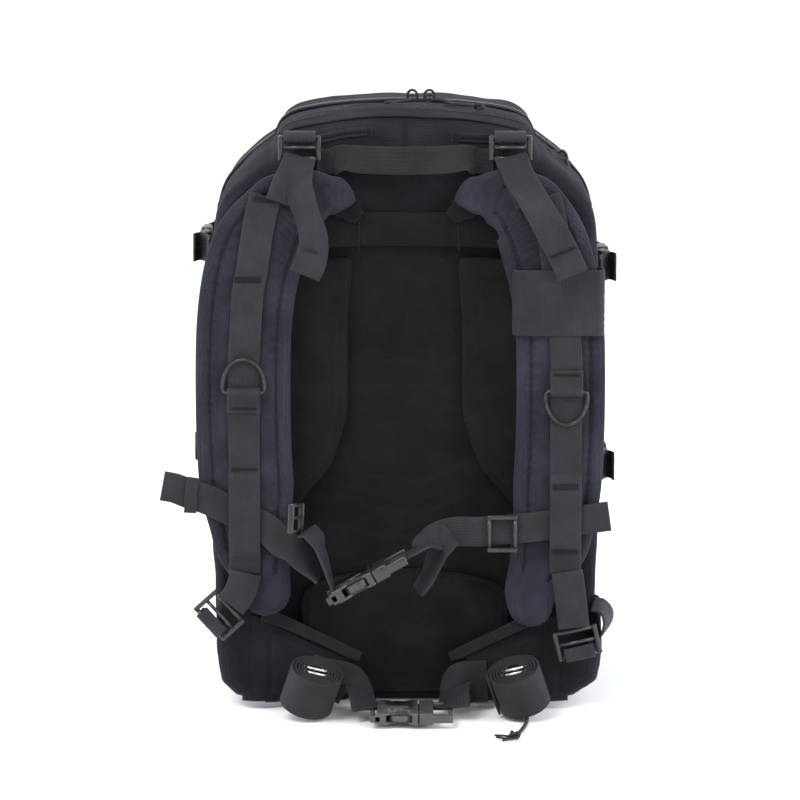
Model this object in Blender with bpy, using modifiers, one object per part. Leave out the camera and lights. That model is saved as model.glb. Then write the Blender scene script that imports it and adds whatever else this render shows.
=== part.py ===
"""A clamshell trauma backpack, standing on its base with its harness towards -Y.

Metres, +Z up. The origin is on the middle of the rear shell's flat base. "left" is -X and "right" is
+X, as seen by someone who looks at the harness. Depths in front of the back panel are written as
"out", a positive distance from BACK_Y towards -Y.
"""

import math

import bmesh
import bpy
from mathutils import Matrix, Vector

# Driving dimensions of the bag
BAG_HEIGHT = 0.476
HALF_WIDTH = 0.156
REAR_DEPTH = 0.110
FRONT_DEPTH = 0.092
POCKET_DEPTH = 0.030
SHELL_WALL = 0.003
SEAM_GAP = 0.0008
GAP = 0.0004

# Driving dimensions of the harness
PAD_THICK = 0.0116
# Each strap's foot (x, z), how far it sits inwards along its length, and its width
STRAP_FEET = {"left": (0.112, 0.079, 0.0, 0.075), "right": (0.101, 0.070, 0.005, 0.070)}
STRAP_THICK = 0.014
STRAP_OUT = 0.037
WEBBING = 0.025
HIP_WEBBING = 0.038
WEBBING_THICK = 0.002
LOCK_THICK = 0.004
CORD = 0.003

BACK_Y = -REAR_DEPTH / 2
SEAM_Y = REAR_DEPTH / 2
FRONT_Y = SEAM_Y + SEAM_GAP
STRAP_AXIS = Vector((0, BACK_Y - 0.012, 0.427))
WING_AXIS_X = 0.1165
WING_OUT = 0.0205
WING_THICK = 0.0150
HANDLE_AXIS_Z = 0.4525
SIDES = {"left": -1, "right": 1}

COLOURS = {
    "pack_fabric": ((0.018, 0.019, 0.026), 0.85, 0.0),
    "back_fabric": ((0.010, 0.010, 0.014), 0.95, 0.0),
    "webbing": ((0.020, 0.020, 0.022), 0.75, 0.0),
    "plastic": ((0.015, 0.015, 0.016), 0.35, 0.0),
    "ring_metal": ((0.035, 0.035, 0.037), 0.30, 0.9),
    "aluminium": ((0.60, 0.61, 0.62), 0.40, 1.0),
    "sheet_plastic": ((0.05, 0.05, 0.055), 0.50, 0.0),
    "cord": ((0.014, 0.014, 0.015), 0.80, 0.0),
}


def clear_scene():
    for thing in list(bpy.data.objects):
        bpy.data.objects.remove(thing, do_unlink=True)


def new_collection(name):
    made = bpy.data.collections.new(name)
    bpy.context.scene.collection.children.link(made)
    return made


def principled(name):
    colour, roughness, metallic = COLOURS[name]
    material = bpy.data.materials.new(name)
    material.use_nodes = True
    shader = material.node_tree.nodes["Principled BSDF"]
    shader.inputs["Base Color"].default_value = (*colour, 1)
    shader.inputs["Roughness"].default_value = roughness
    shader.inputs["Metallic"].default_value = metallic
    return material


clear_scene()
PARTS = new_collection("trauma_backpack")
CUTTERS = new_collection("cutters")
MATERIALS = {name: principled(name) for name in COLOURS}


def at(x, out, z):
    """A point that is so far in front of the back panel."""
    return Vector((x, BACK_Y - out, z))


def add_axis(name, location):
    """An empty on a joint's axis, which the moving pieces hang from."""
    axis = bpy.data.objects.new(name, None)
    axis.location = location
    PARTS.objects.link(axis)
    return axis


def add_part(name, data, material, parent=None, matrix=None):
    part = bpy.data.objects.new(name, data)
    PARTS.objects.link(part)
    data.materials.append(MATERIALS[material])
    placed = matrix or Matrix()
    if parent is not None:
        part.parent = parent
        placed = Matrix.Translation(-parent.location) @ placed
    part.matrix_basis = placed
    return part


def bevel(part, width, segments=2):
    modifier = part.modifiers.new("rounding", "BEVEL")
    modifier.width = width
    modifier.segments = segments
    modifier.limit_method = "ANGLE"
    modifier.angle_limit = math.radians(40)


def weld(part):
    modifier = part.modifiers.new("weld", "WELD")
    modifier.merge_threshold = 0.00001


def solidify(part, thickness, offset):
    modifier = part.modifiers.new("thickness", "SOLIDIFY")
    modifier.thickness = thickness
    modifier.offset = offset
    modifier.use_even_offset = True


def facing(y_turn=0.0, z_turn=0.0):
    """A drawn outline stands up to face -Y, and then turns about Y and about Z, in degrees."""
    stand = Matrix.Rotation(math.radians(90), 4, "X")
    turn_y = Matrix.Rotation(math.radians(y_turn), 4, "Y")
    turn_z = Matrix.Rotation(math.radians(z_turn), 4, "Z")
    return turn_z @ turn_y @ stand


# Shapes that the parts are made from


def filleted(corners, radii, steps=4):
    """The polygon again, with an arc at each corner."""
    points = []
    for i, corner in enumerate(corners):
        here = Vector(corner)
        before = (Vector(corners[i - 1]) - here).normalized()
        after = (Vector(corners[(i + 1) % len(corners)]) - here).normalized()
        half = before.angle(after) / 2
        reach = radii[i] / math.tan(half)
        centre = here + (before + after).normalized() * (radii[i] / math.sin(half))
        start = here + before * reach - centre
        turn = start.angle_signed(here + after * reach - centre)
        for k in range(steps + 1):
            arm = start.copy()
            arm.rotate(Matrix.Rotation(-turn * k / steps, 2))
            points.append(centre + arm)
    return points


def rounded_rectangle(width, height, radius, steps=2):
    x, y = width / 2, height / 2
    return filleted([(-x, -y), (x, -y), (x, y), (-x, y)], [radius] * 4, steps)


def outline_curve(name, outlines, thickness):
    """A flat plate: its first outline is the edge and the others are its holes."""
    curve = bpy.data.curves.new(name, "CURVE")
    curve.dimensions = "2D"
    curve.fill_mode = "BOTH"
    curve.extrude = thickness / 2
    for outline in outlines:
        spline = curve.splines.new("POLY")
        spline.points.add(len(outline) - 1)
        for point, place in zip(spline.points, outline):
            point.co = (place[0], place[1], 0, 1)
        spline.use_cyclic_u = True
    return curve


def add_plate(name, outlines, thickness, material, matrix, parent=None, rounding=0.0):
    plate = add_part(name, outline_curve(name, outlines, thickness), material, parent, matrix)
    if rounding:
        weld(plate)
        bevel(plate, rounding, 1)
    return plate


def add_box(name, low, high, material, parent=None, rounding=0.0):
    """A box between two corners."""
    mesh = bpy.data.meshes.new(name)
    shape = bmesh.new()
    bmesh.ops.create_cube(shape, size=1)
    size = Vector(high) - Vector(low)
    bmesh.ops.scale(shape, vec=size, verts=shape.verts)
    shape.to_mesh(mesh)
    shape.free()
    middle = Matrix.Translation((Vector(low) + Vector(high)) / 2)
    box = add_part(name, mesh, material, parent, middle)
    if rounding:
        bevel(box, rounding)
    return box


def smooth_path(points, steps):
    """Points along a Catmull-Rom curve through the given ones."""
    line = [Vector(p) for p in points]
    line = [line[0] * 2 - line[1], *line, line[-1] * 2 - line[-2]]
    path = []
    for i in range(1, len(line) - 2):
        a, b, c, d = line[i - 1 : i + 3]
        for k in range(steps):
            t = k / steps
            path.append(
                0.5 * (2 * b + (c - a) * t + (2 * a - 5 * b + 4 * c - d) * t**2
                       + (3 * b - a - 3 * c + d) * t**3)
            )
    path.append(line[-2])
    return path


def add_ribbon(name, points, width, thickness, material, parent=None, faces=None, steps=3, rounding=0.0):
    """A strap along a path. faces are the directions that it faces at the points, -Y if left out."""
    faces = faces or [(0, -1, 0)] * len(points)
    widths = width if isinstance(width, list) else [width] * len(points)
    path = smooth_path(points, steps)
    looks = smooth_path(faces, steps)
    spans = smooth_path([(w, 0, 0) for w in widths], steps)
    mesh = bpy.data.meshes.new(name)
    shape = bmesh.new()
    rows = []
    for i, place in enumerate(path):
        along = path[min(i + 1, len(path) - 1)] - path[max(i - 1, 0)]
        side = along.cross(looks[i]).normalized() * spans[i].x / 2
        rows.append((shape.verts.new(place - side), shape.verts.new(place + side)))
    for (a, b), (c, d) in zip(rows, rows[1:]):
        shape.faces.new((a, b, d, c))
    shape.to_mesh(mesh)
    shape.free()
    ribbon = add_part(name, mesh, material, parent)
    solidify(ribbon, thickness, 0)
    if rounding:
        bevel(ribbon, rounding)
    return ribbon


def add_tube(name, points, diameter, material, parent=None, closed=False, steps=3):
    """A round wire or cord along a smooth path."""
    curve = bpy.data.curves.new(name, "CURVE")
    curve.dimensions = "3D"
    curve.bevel_depth = diameter / 2
    curve.bevel_resolution = 2
    curve.use_fill_caps = not closed
    path = points if closed else smooth_path(points, steps)
    spline = curve.splines.new("POLY")
    spline.points.add(len(path) - 1)
    for point, place in zip(spline.points, path):
        point.co = (*place, 1)
    spline.use_cyclic_u = closed
    return add_part(name, curve, material, parent)


def bag_outline(inset=0.0):
    """The bag from behind: a broad base, straight sides and a narrower flat top."""
    base_x, waist_z = HALF_WIDTH - 0.006, 0.20
    shoulder = (0.150, 0.405)
    neck = (0.106, 0.450)
    top = (0.082, BAG_HEIGHT)
    right = [(base_x, 0), (HALF_WIDTH, waist_z), shoulder, neck, top]
    radii = [0.024, 0.30, 0.030, 0.020, 0.016]
    corners = right + [(-x, z) for x, z in reversed(right)]
    middle = Vector((0, BAG_HEIGHT / 2))
    shrink = Vector((1 - inset / HALF_WIDTH, 1 - 2 * inset / BAG_HEIGHT))
    return [
        Vector(((p.x - middle.x) * shrink.x, middle.y + (p.y - middle.y) * shrink.y))
        for p in filleted(corners, radii + radii[::-1], 3)
    ]


def add_tray(name, rings, wall, material, parent=None):
    """A bag half: outlines from its open end to its closed end, with walls of one thickness."""
    mesh = bpy.data.meshes.new(name)
    shape = bmesh.new()
    rows = [[shape.verts.new((p.x, y, p.y)) for p in outline] for y, outline in rings]
    count = len(rows[0])
    for near, far in zip(rows, rows[1:]):
        for i in range(count):
            j = (i + 1) % count
            shape.faces.new((near[i], near[j], far[j], far[i]))
    shape.faces.new(rows[-1])
    bmesh.ops.recalc_face_normals(shape, faces=shape.faces)
    closed_end = shape.faces[:][-1]
    outwards = rings[-1][0] - rings[0][0]
    if closed_end.normal.y * outwards < 0:
        bmesh.ops.reverse_faces(shape, faces=shape.faces)
    shape.to_mesh(mesh)
    shape.free()
    tray = add_part(name, mesh, material, parent)
    solidify(tray, wall, -1)
    return tray


def cut_box(part, low, high, matrix=None):
    """Takes a box out of a part."""
    mesh = bpy.data.meshes.new(part.name + "_cut")
    shape = bmesh.new()
    bmesh.ops.create_cube(shape, size=1)
    bmesh.ops.scale(shape, vec=Vector(high) - Vector(low), verts=shape.verts)
    bmesh.ops.translate(shape, vec=(Vector(low) + Vector(high)) / 2, verts=shape.verts)
    shape.to_mesh(mesh)
    shape.free()
    cutter = bpy.data.objects.new(part.name + "_cut", mesh)
    CUTTERS.objects.link(cutter)
    cutter.matrix_basis = matrix or Matrix()
    cutter.hide_render = True
    cutter.display_type = "WIRE"
    modifier = part.modifiers.new("cut", "BOOLEAN")
    modifier.operation = "DIFFERENCE"
    modifier.object = cutter


# The bag


def make_rear_shell():
    edge = 0.010
    add_tray(
        "rear_shell",
        [(SEAM_Y, bag_outline()), (BACK_Y + edge, bag_outline()), (BACK_Y, bag_outline(edge / 2))],
        SHELL_WALL,
        "pack_fabric",
    )


def make_front_shell(clamshell):
    back = FRONT_Y + FRONT_DEPTH
    rings = [
        (FRONT_Y, bag_outline()),
        (back - 0.026, bag_outline()),
        (back - 0.008, bag_outline(0.008)),
        (back, bag_outline(0.022)),
    ]
    add_tray("front_shell", rings, SHELL_WALL, "pack_fabric", clamshell)


def make_front_pocket(clamshell):
    """A pouch on the front panel, open at its top."""
    width, low, high = 0.220, 0.060, 0.300
    near = FRONT_Y + FRONT_DEPTH + GAP
    pocket = add_box(
        "front_pocket", (-width / 2, near, low), (width / 2, near + POCKET_DEPTH, high),
        "pack_fabric", clamshell, 0.0025,
    )
    wall = SHELL_WALL
    inside_low = (-width / 2 + wall, near + wall, low + wall)
    cut_box(pocket, inside_low, (width / 2 - wall, near + POCKET_DEPTH - wall, high + wall))


def make_frame():
    """The stiffener behind the back wall: a plastic sheet and two aluminium stays."""
    near = BACK_Y + SHELL_WALL + GAP
    sheet = 0.0015
    corners = [(-0.120, 0.020), (0.120, 0.020), (0.120, 0.380), (-0.120, 0.380)]
    outline = filleted(corners, [0.020] * 4)
    place = Matrix.Translation((0, near + sheet / 2, 0)) @ facing()
    add_plate("frame_sheet", [outline], sheet, "sheet_plastic", place)
    stay_x, stay_width, stay_thick = 0.060, 0.025, 0.003
    stay_y = near + sheet + GAP
    for side, sign in SIDES.items():
        low = (sign * stay_x - stay_width / 2, stay_y, 0.030)
        high = (sign * stay_x + stay_width / 2, stay_y + stay_thick, 0.370)
        add_box(f"stay_{side}", low, high, "aluminium")


def make_organiser():
    """The inner panel over the stays, and an open-topped pouch sewn to it."""
    panel_y = BACK_Y + 0.0092
    add_box("organiser_panel", (-0.125, panel_y, 0.016), (0.125, panel_y + 0.002, 0.390), "back_fabric")
    pouch_y, depth, wall = panel_y + 0.002 + GAP, 0.040, 0.002
    low, high = (-0.110, pouch_y, 0.020), (0.110, pouch_y + depth, 0.170)
    pouch = add_box("inner_pouch", low, high, "back_fabric")
    cut_box(
        pouch,
        (low[0] + wall, pouch_y + wall, low[2] + wall),
        (high[0] - wall, pouch_y + depth - wall, high[2] + wall),
    )


def make_back_pads():
    """Foam pads on the back panel: one up each side, one across the top and one at the waist."""
    place = Matrix.Translation(at(0, GAP + PAD_THICK / 2, 0)) @ facing()
    side_pad = [(0.139, 0.097), (0.139, 0.3655), (0.041, 0.3655), (0.041, 0.240), (0.054, 0.195),
                (0.088, 0.155), (0.100, 0.097)]
    radii = [0.010, 0.006, 0.006, 0.040, 0.060, 0.030, 0.008]
    for side, sign in SIDES.items():
        corners = [(sign * x, z) for x, z in side_pad]
        outline = filleted(corners[::sign], radii[::sign], 3)
        add_plate(f"pad_{side}", [outline], PAD_THICK, "back_fabric", place, None, 0.003)
    upper = filleted([(-0.125, 0.370), (0.125, 0.370), (0.120, 0.408), (-0.120, 0.408)], [0.006] * 4, 2)
    add_plate("pad_upper", [upper], PAD_THICK, "back_fabric", place, None, 0.003)
    dome_low, dome_high, dome_x = 0.006, 0.088, 0.085
    rise, turns = 0.026, 8
    dome = [(dome_x * math.cos(math.pi * k / turns), dome_high + rise * math.sin(math.pi * k / turns))
            for k in range(turns + 1)]
    lumbar = [(-dome_x, dome_low), (dome_x, dome_low), *dome]
    add_plate("pad_lumbar", [lumbar], PAD_THICK, "back_fabric", place, None, 0.003)


# Buckles and locks


def lock_outlines(width, height, slots=2):
    """A ladder lock: a frame with slots across it."""
    bar = 0.0035
    slot = (height - bar * (slots + 1)) / slots
    outlines = [rounded_rectangle(width, height, 0.004)]
    for k in range(slots):
        middle = -height / 2 + bar + slot / 2 + k * (slot + bar)
        hole = rounded_rectangle(width - 2 * bar, slot, 0.001, 1)
        outlines.append([Vector((p.x, p.y + middle)) for p in hole])
    return outlines


def add_lock(name, middle, width, height, turn, parent=None):
    matrix = Matrix.Translation(middle) @ facing(y_turn=turn)
    add_plate(name, lock_outlines(width, height), LOCK_THICK, "plastic", matrix, parent)


def add_buckle(names, matrix, length, width, thick, parents):
    """A side-release buckle along local X: the socket half, and the plug half with its prongs."""
    wall, clearance = 0.0025, 0.0008
    mouth = length * 0.42
    socket_length = length * 0.58
    female = add_box(names[0], (0, -width / 2, -thick / 2), (socket_length, width / 2, thick / 2),
                     "plastic", None, 0.0015)
    female.matrix_basis = matrix @ female.matrix_basis
    if parents[0] is not None:
        female.parent = parents[0]
        female.matrix_basis = Matrix.Translation(-parents[0].location) @ female.matrix_basis
    cut_box(
        female,
        (socket_length - mouth, -width / 2 + wall, -thick / 2 + wall),
        (socket_length + wall, width / 2 - wall, thick / 2 - wall),
        matrix,
    )
    prong = width / 2 - wall - clearance
    reach = mouth - clearance * 3
    start = socket_length + clearance
    plug = [
        (start, -width / 2), (length, -width / 2), (length, width / 2), (start, width / 2),
        (start, prong), (start - reach * 0.7, prong), (start - reach, prong * 0.6),
        (start - reach, -prong * 0.6), (start - reach * 0.7, -prong), (start, -prong),
    ]
    plug_thick = thick - 2 * (wall + clearance)
    add_plate(names[1], [plug], plug_thick, "plastic", matrix, parents[1])


# The harness


def strap_route(side):
    """The middle of a shoulder strap from the yoke to its rounded lower end, and its widths."""
    sign = SIDES[side]
    lobe_x, lobe_z, inward, width = STRAP_FEET[side]
    route = [
        (0.056, 0.0222, 0.412), (0.094, 0.0268, 0.402), (0.117 - inward, 0.0345, 0.373),
        (0.126 - inward, STRAP_OUT, 0.322), (0.128 - inward, STRAP_OUT, 0.250),
        (0.126 - inward, STRAP_OUT, 0.190), (0.121 - inward, STRAP_OUT, 0.144),
        (lobe_x, STRAP_OUT, 0.104), (lobe_x, STRAP_OUT, lobe_z),
    ]
    widths = [0.034, 0.064, width, width, width, width, 0.064, 0.038, 0.020]
    return [at(sign * x, out, z) for x, out, z in route], widths


def make_strap(side, swing):
    route, widths = strap_route(side)
    add_ribbon(f"strap_{side}", route, widths, STRAP_THICK, "pack_fabric", swing, rounding=0.004)


def make_daisy_chain(side, swing):
    """The webbing down the middle of a strap. It stands up where the sternum webbing passes under it."""
    sign = SIDES[side]
    skin = STRAP_OUT + STRAP_THICK / 2 + GAP + WEBBING_THICK / 2
    lifted = skin + 0.0046
    low = skin + 0.0004
    route = [
        (0.112, low, 0.384), (0.124, low, 0.332), (0.127, low, 0.260), (0.127, low, 0.215),
        (0.127, lifted, 0.196), (0.127, lifted, 0.133), (0.127, low, 0.117),
    ]
    points = [at(sign * x, out, z) for x, out, z in route]
    add_ribbon(f"daisy_{side}", points, WEBBING, WEBBING_THICK, "webbing", swing)


def make_strap_sleeve(swing):
    """The wide band round the right strap, lying on its webbing."""
    low, high = 0.307, 0.359
    out = STRAP_OUT + STRAP_THICK / 2 + WEBBING_THICK + 0.0022
    points = [at(0.088, out, (low + high) / 2), at(0.120, out + 0.0006, (low + high) / 2),
              at(0.154, out, (low + high) / 2)]
    add_ribbon("strap_sleeve", points, high - low, 0.0012, "webbing", swing)


def make_lower_webbing(side, swing):
    """The webbing from a strap's lower end to just above its ladder lock."""
    routes = {
        "left": [(-0.1265, 0.0492, 0.1110), (-0.1300, 0.0492, 0.1030), (-0.1360, 0.0486, 0.0935)],
        "right": [(0.129, 0.0492, 0.1120), (0.132, 0.0490, 0.0960), (0.1340, 0.0486, 0.0765)],
    }
    points = [at(*place) for place in routes[side]]
    add_ribbon(f"tail_{side}", points, WEBBING, WEBBING_THICK, "webbing", swing)


def make_lifter_webbing(side, swing):
    """The load lifter's free end, which lies over the top of its strap."""
    routes = {
        "left": [(-0.088, 0.0360, 0.4310), (-0.093, 0.0420, 0.4180), (-0.082, 0.0490, 0.3950),
                 (-0.074, 0.0520, 0.3770), (-0.079, 0.0530, 0.3560)],
        "right": [(0.086, 0.0360, 0.4310), (0.099, 0.0420, 0.4150), (0.113, 0.0510, 0.3920),
                  (0.124, 0.0535, 0.3740), (0.131, 0.0540, 0.3560)],
    }
    points = [at(*place) for place in routes[side]]
    add_ribbon(f"lifter_{side}", points, WEBBING, WEBBING_THICK, "webbing", swing)


def make_lifter_lock(side):
    sign = SIDES[side]
    hinge = add_axis(f"lifter_lock_axis_{side}", at(sign * 0.083, 0.0145, 0.4605))
    add_lock(f"lifter_lock_{side}", at(sign * 0.083, 0.0145, 0.4510), 0.034, 0.022, 0, hinge)


def make_lower_lock(side):
    """The lock at the foot of a strap, and the webbing tab that ties it to the bag's lower corner."""
    places = {"left": (at(-0.1465, 0.0430, 0.0825), 48), "right": (at(0.1370, 0.0430, 0.0605), -13)}
    middle, turn = places[side]
    height = 0.024
    down = Matrix.Rotation(math.radians(turn), 3, "Y") @ Vector((0, 0, -1))
    hinge = add_axis(f"lower_lock_axis_{side}", middle + down * (height / 2))
    add_lock(f"lower_lock_{side}", middle, 0.036, height, turn, hinge)
    sign = SIDES[side]
    edge = middle + down * (height / 2 + 0.003)
    bend = edge + down * 0.007 + Vector((0, 0.003, 0))
    points = [edge, bend, bend + Vector((-sign * 0.001, 0.0060, -0.010))]
    add_ribbon(f"lower_anchor_{side}", points, WEBBING, WEBBING_THICK, "webbing")


def make_d_ring(side, swing):
    """A D-ring on the strap: the left one lies with its arc up and the right one hangs."""
    sign = SIDES[side]
    arc_up = side == "left"
    bar_z = 0.2626
    out = STRAP_OUT + STRAP_THICK / 2 + WEBBING_THICK + 0.0034
    half, rise, wire, turns = 0.0165, 0.022, 0.003, 10
    direction = 1 if arc_up else -1
    arc = [(half * math.cos(math.pi * k / turns), direction * (0.004 + rise * math.sin(math.pi * k / turns)))
           for k in range(turns + 1)]
    loop = [(half, 0), *arc, (-half, 0)]
    middle = at(sign * 0.127, out, bar_z)
    hinge = add_axis(f"d_ring_axis_{side}", middle)
    points = [Vector((x, 0, z)) + middle for x, z in loop]
    add_tube(f"d_ring_{side}", points, wire, "ring_metal", hinge, closed=True)
    hinge.parent = swing
    hinge.location = middle - swing.location


def make_sternum_strap(left_swing, right_swing):
    """The chest strap: two webbings, two locks and a buckle seen on its edge."""
    skin = STRAP_OUT + STRAP_THICK / 2 + GAP + WEBBING_THICK / 2 + 0.0006
    left = [(-0.192, skin, 0.187), (-0.160, skin, 0.177), (-0.136, skin, 0.166), (-0.112, skin, 0.154),
            (-0.098, skin + 0.006, 0.143), (-0.082, skin + 0.017, 0.132), (-0.066, skin + 0.020, 0.110)]
    left_faces = [(0, -1, 0), (0, -1, 0), (0, -1, 0), (0, -1, 0), (0.1, -1, 0.1), (0.6, -0.6, 0.6),
                  (0.88, 0, 0.48)]
    add_ribbon("sternum_web_left", [at(*p) for p in left], 0.024, WEBBING_THICK, "webbing", left_swing,
               left_faces, 4)
    lock_out = skin + 0.012
    turn = facing(y_turn=10, z_turn=65)
    add_plate("sternum_lock_left", lock_outlines(0.030, 0.024), LOCK_THICK, "plastic",
              Matrix.Translation(at(-0.086, lock_out, 0.1630)) @ turn, left_swing)
    plug_axis = add_axis("sternum_plug_axis", left_swing.location)
    angle = math.radians(-29)
    socket_end = at(-0.061, skin + 0.020, 0.1000)
    place = Matrix.Translation(socket_end) @ Matrix.Rotation(angle, 4, "Y")
    add_buckle(("sternum_socket", "sternum_plug"), place, 0.071, 0.031, 0.011, (left_swing, plug_axis))
    along = Matrix.Rotation(angle, 3, "Y") @ Vector((1, 0, 0))
    start = socket_end + along * 0.0725
    right = [start, start + along * 0.012, at(0.026, skin + 0.009, 0.1455), at(0.040, skin, 0.1495),
             at(0.060, skin, 0.1500), at(0.100, skin, 0.1535), at(0.162, skin, 0.1625)]
    sideways = (-0.48, 0, 0.88)
    right_faces = [sideways, sideways, (-0.3, -0.9, 0.3), (0, -1, 0), (0, -1, 0), (0, -1, 0), (0, -1, 0)]
    add_ribbon("sternum_web_right", right, 0.024, WEBBING_THICK, "webbing", plug_axis, right_faces, 4)
    add_plate("sternum_lock_right", lock_outlines(0.030, 0.024, 1), LOCK_THICK, "plastic",
              Matrix.Translation(at(0.077, skin + 0.0042, 0.1490)) @ facing(y_turn=90), right_swing)
    plug_axis.parent = left_swing
    plug_axis.location = (0, 0, 0)


def make_hip_belt():
    """Folded hip wings, their rolled webbing and the buckle that lies on the ground in front."""
    gusset = [(0.1175, 0.004), (0.150, 0.004), (0.150, 0.074), (0.132, 0.088), (0.1175, 0.082)]
    wing = [(0.0460, 0.006), (0.1155, 0.006), (0.1155, 0.066), (0.096, 0.066), (0.0460, 0.046)]
    place = Matrix.Translation(at(0, WING_OUT, 0)) @ facing()
    axes = {}
    for side, sign in SIDES.items():
        hinge_out = WING_OUT + WING_THICK / 2
        axes[side] = add_axis(f"wing_axis_{side}", at(sign * WING_AXIS_X, hinge_out, 0.030))
        root = filleted([(sign * x, z) for x, z in gusset][::sign], [0.003] * 5, 2)
        add_plate(f"hip_root_{side}", [root], WING_THICK, "pack_fabric", place, None, 0.003)
        flap = filleted([(sign * x, z) for x, z in wing][::sign], [0.003, 0.003, 0.003, 0.01, 0.006][::sign], 2)
        add_plate(f"hip_wing_{side}", [flap], WING_THICK, "pack_fabric", place, axes[side], 0.003)
    make_roll("left", -0.0750, axes["left"])
    make_roll("right", 0.0890, axes["right"])
    web_out, low_z = 0.0330, 0.0240
    left_web = [at(-0.0500, web_out, low_z), at(-0.0400, web_out + 0.004, low_z - 0.001),
                at(-0.0300, web_out + 0.020, low_z - 0.004)]
    add_ribbon("hip_web_left", left_web, 0.034, WEBBING_THICK, "webbing", axes["left"])
    plug_axis = add_axis("hip_plug_axis", axes["left"].location)
    place = Matrix.Translation(at(-0.0280, 0.0680, 0.0080))
    add_buckle(("hip_socket", "hip_plug"), place, 0.066, 0.046, 0.0125, (axes["left"], plug_axis))
    right_web = [at(0.0400, web_out + 0.008, 0.0215), at(0.0470, web_out + 0.001, 0.0235),
                 at(0.0620, web_out, low_z)]
    add_ribbon("hip_web_right", right_web, 0.034, WEBBING_THICK, "webbing", plug_axis)
    plug_axis.parent = axes["left"]
    plug_axis.location = (0, 0, 0)


def make_roll(side, x, wing):
    """Spare hip webbing rolled up on its edge, hollow in the middle."""
    outer, inner, low, turns = 0.0215, 0.0120, 0.0070, 16
    high = low + HIP_WEBBING
    middle_out = 0.0365 + outer * 0.86
    ring = [(outer * math.cos(2 * math.pi * k / turns), 0.86 * outer * math.sin(2 * math.pi * k / turns))
            for k in range(turns)]
    hole = [(inner * p[0] / outer, inner * p[1] / outer) for p in ring]
    place = Matrix.Translation(at(x, middle_out, (low + high) / 2))
    add_plate(f"hip_roll_{side}", [ring, hole], high - low, "webbing", place, wing)


def make_haul_handle():
    """The carrying loop of wide webbing below the top seam."""
    hinge = add_axis("handle_axis", (0, BACK_Y - 0.0030, HANDLE_AXIS_Z))
    half, height, bulge = 0.060, 0.020, 0.019
    middle_z = HANDLE_AXIS_Z - height / 2
    route = [(-half, 0.0030), (-half + 0.008, 0.0070), (-0.036, bulge - 0.003), (0, bulge),
             (0.036, bulge - 0.003), (half - 0.008, 0.0070), (half, 0.0030)]
    add_ribbon("haul_handle", [at(x, out, middle_z) for x, out in route], height, WEBBING_THICK,
               "webbing", hinge)


def make_compression_buckle(side, level, z):
    """A clip across the side of the bag: its socket is on the rear half and its plug on the front."""
    sign = SIDES[side]
    length, width, thick = 0.052, 0.024, 0.0095
    x = sign * (HALF_WIDTH + GAP + 0.0015 + thick / 2)
    start = Matrix.Translation((x, SEAM_Y - 0.030, z))
    along_y = Matrix.Rotation(math.radians(90), 4, "Z")
    flat = Matrix.Rotation(math.radians(90), 4, "X")
    names = (f"clip_socket_{side}_{level}", f"clip_plug_{side}_{level}")
    add_buckle(names, start @ along_y @ flat, length, width, thick, (None, CLAMSHELL))


def make_zip_slider(side):
    """A zip slider on the flat top of the seam, and the cord pull that hangs from it."""
    x = 0.006 if side == "left" else 0.020
    low_z = BAG_HEIGHT + GAP
    runner = add_axis(f"zip_axis_{side}", (x, SEAM_Y, low_z))
    add_box(f"zip_slider_{side}", (x - 0.005, SEAM_Y - 0.004, low_z), (x + 0.005, SEAM_Y + 0.004, low_z + 0.005),
            "plastic", runner, 0.001)
    top = low_z + CORD / 2 + 0.0004
    routes = {
        "left": [(x, SEAM_Y - 0.0056, top), (x - 0.006, SEAM_Y - 0.018, top), (x - 0.016, SEAM_Y - 0.030, top),
                 (x - 0.018, SEAM_Y - 0.044, top)],
        "right": [(x, SEAM_Y - 0.0056, top), (x + 0.012, SEAM_Y - 0.016, top), (x + 0.020, SEAM_Y - 0.034, top),
                  (x + 0.034, SEAM_Y - 0.052, top), (x + 0.040, SEAM_Y - 0.066, top)],
    }
    add_tube(f"zip_pull_{side}", routes[side], CORD, "cord", runner)


def make_base_cord():
    """The drawcord end that runs from under the base and lies on the ground."""
    z = CORD / 2 + 0.0002
    route = [(0.100, 0.0030, 0.0095), (0.100, 0.0080, 0.0042), (0.099, 0.0200, z), (0.098, 0.045, z),
             (0.096, 0.075, z), (0.091, 0.100, z), (0.085, 0.120, z)]
    add_tube("base_cord", [at(*place) for place in route], CORD, "cord", steps=4)


CLAMSHELL = add_axis("clamshell_axis", (0, SEAM_Y + SEAM_GAP / 2, 0))
make_rear_shell()
make_front_shell(CLAMSHELL)
make_front_pocket(CLAMSHELL)
make_frame()
make_organiser()
make_back_pads()
make_haul_handle()
SWINGS = {side: add_axis(f"strap_axis_{side}", STRAP_AXIS) for side in SIDES}
for side, swing in SWINGS.items():
    make_strap(side, swing)
    make_daisy_chain(side, swing)
    make_lower_webbing(side, swing)
    make_lifter_webbing(side, swing)
    make_d_ring(side, swing)
    make_lifter_lock(side)
    make_lower_lock(side)
    make_zip_slider(side)
    make_compression_buckle(side, "upper", 0.361 if side == "left" else 0.345)
    make_compression_buckle(side, "lower", 0.197 if side == "left" else 0.180)
make_strap_sleeve(SWINGS["right"])
make_sternum_strap(SWINGS["left"], SWINGS["right"])
make_hip_belt()
make_base_cord()
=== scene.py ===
"""The looks of a trauma backpack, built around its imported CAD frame. Metres; +Z up; harness towards -Y."""

import math

import bmesh
import bpy
from mathutils import Matrix, Vector, noise
from mathutils.bvhtree import BVHTree


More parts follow.
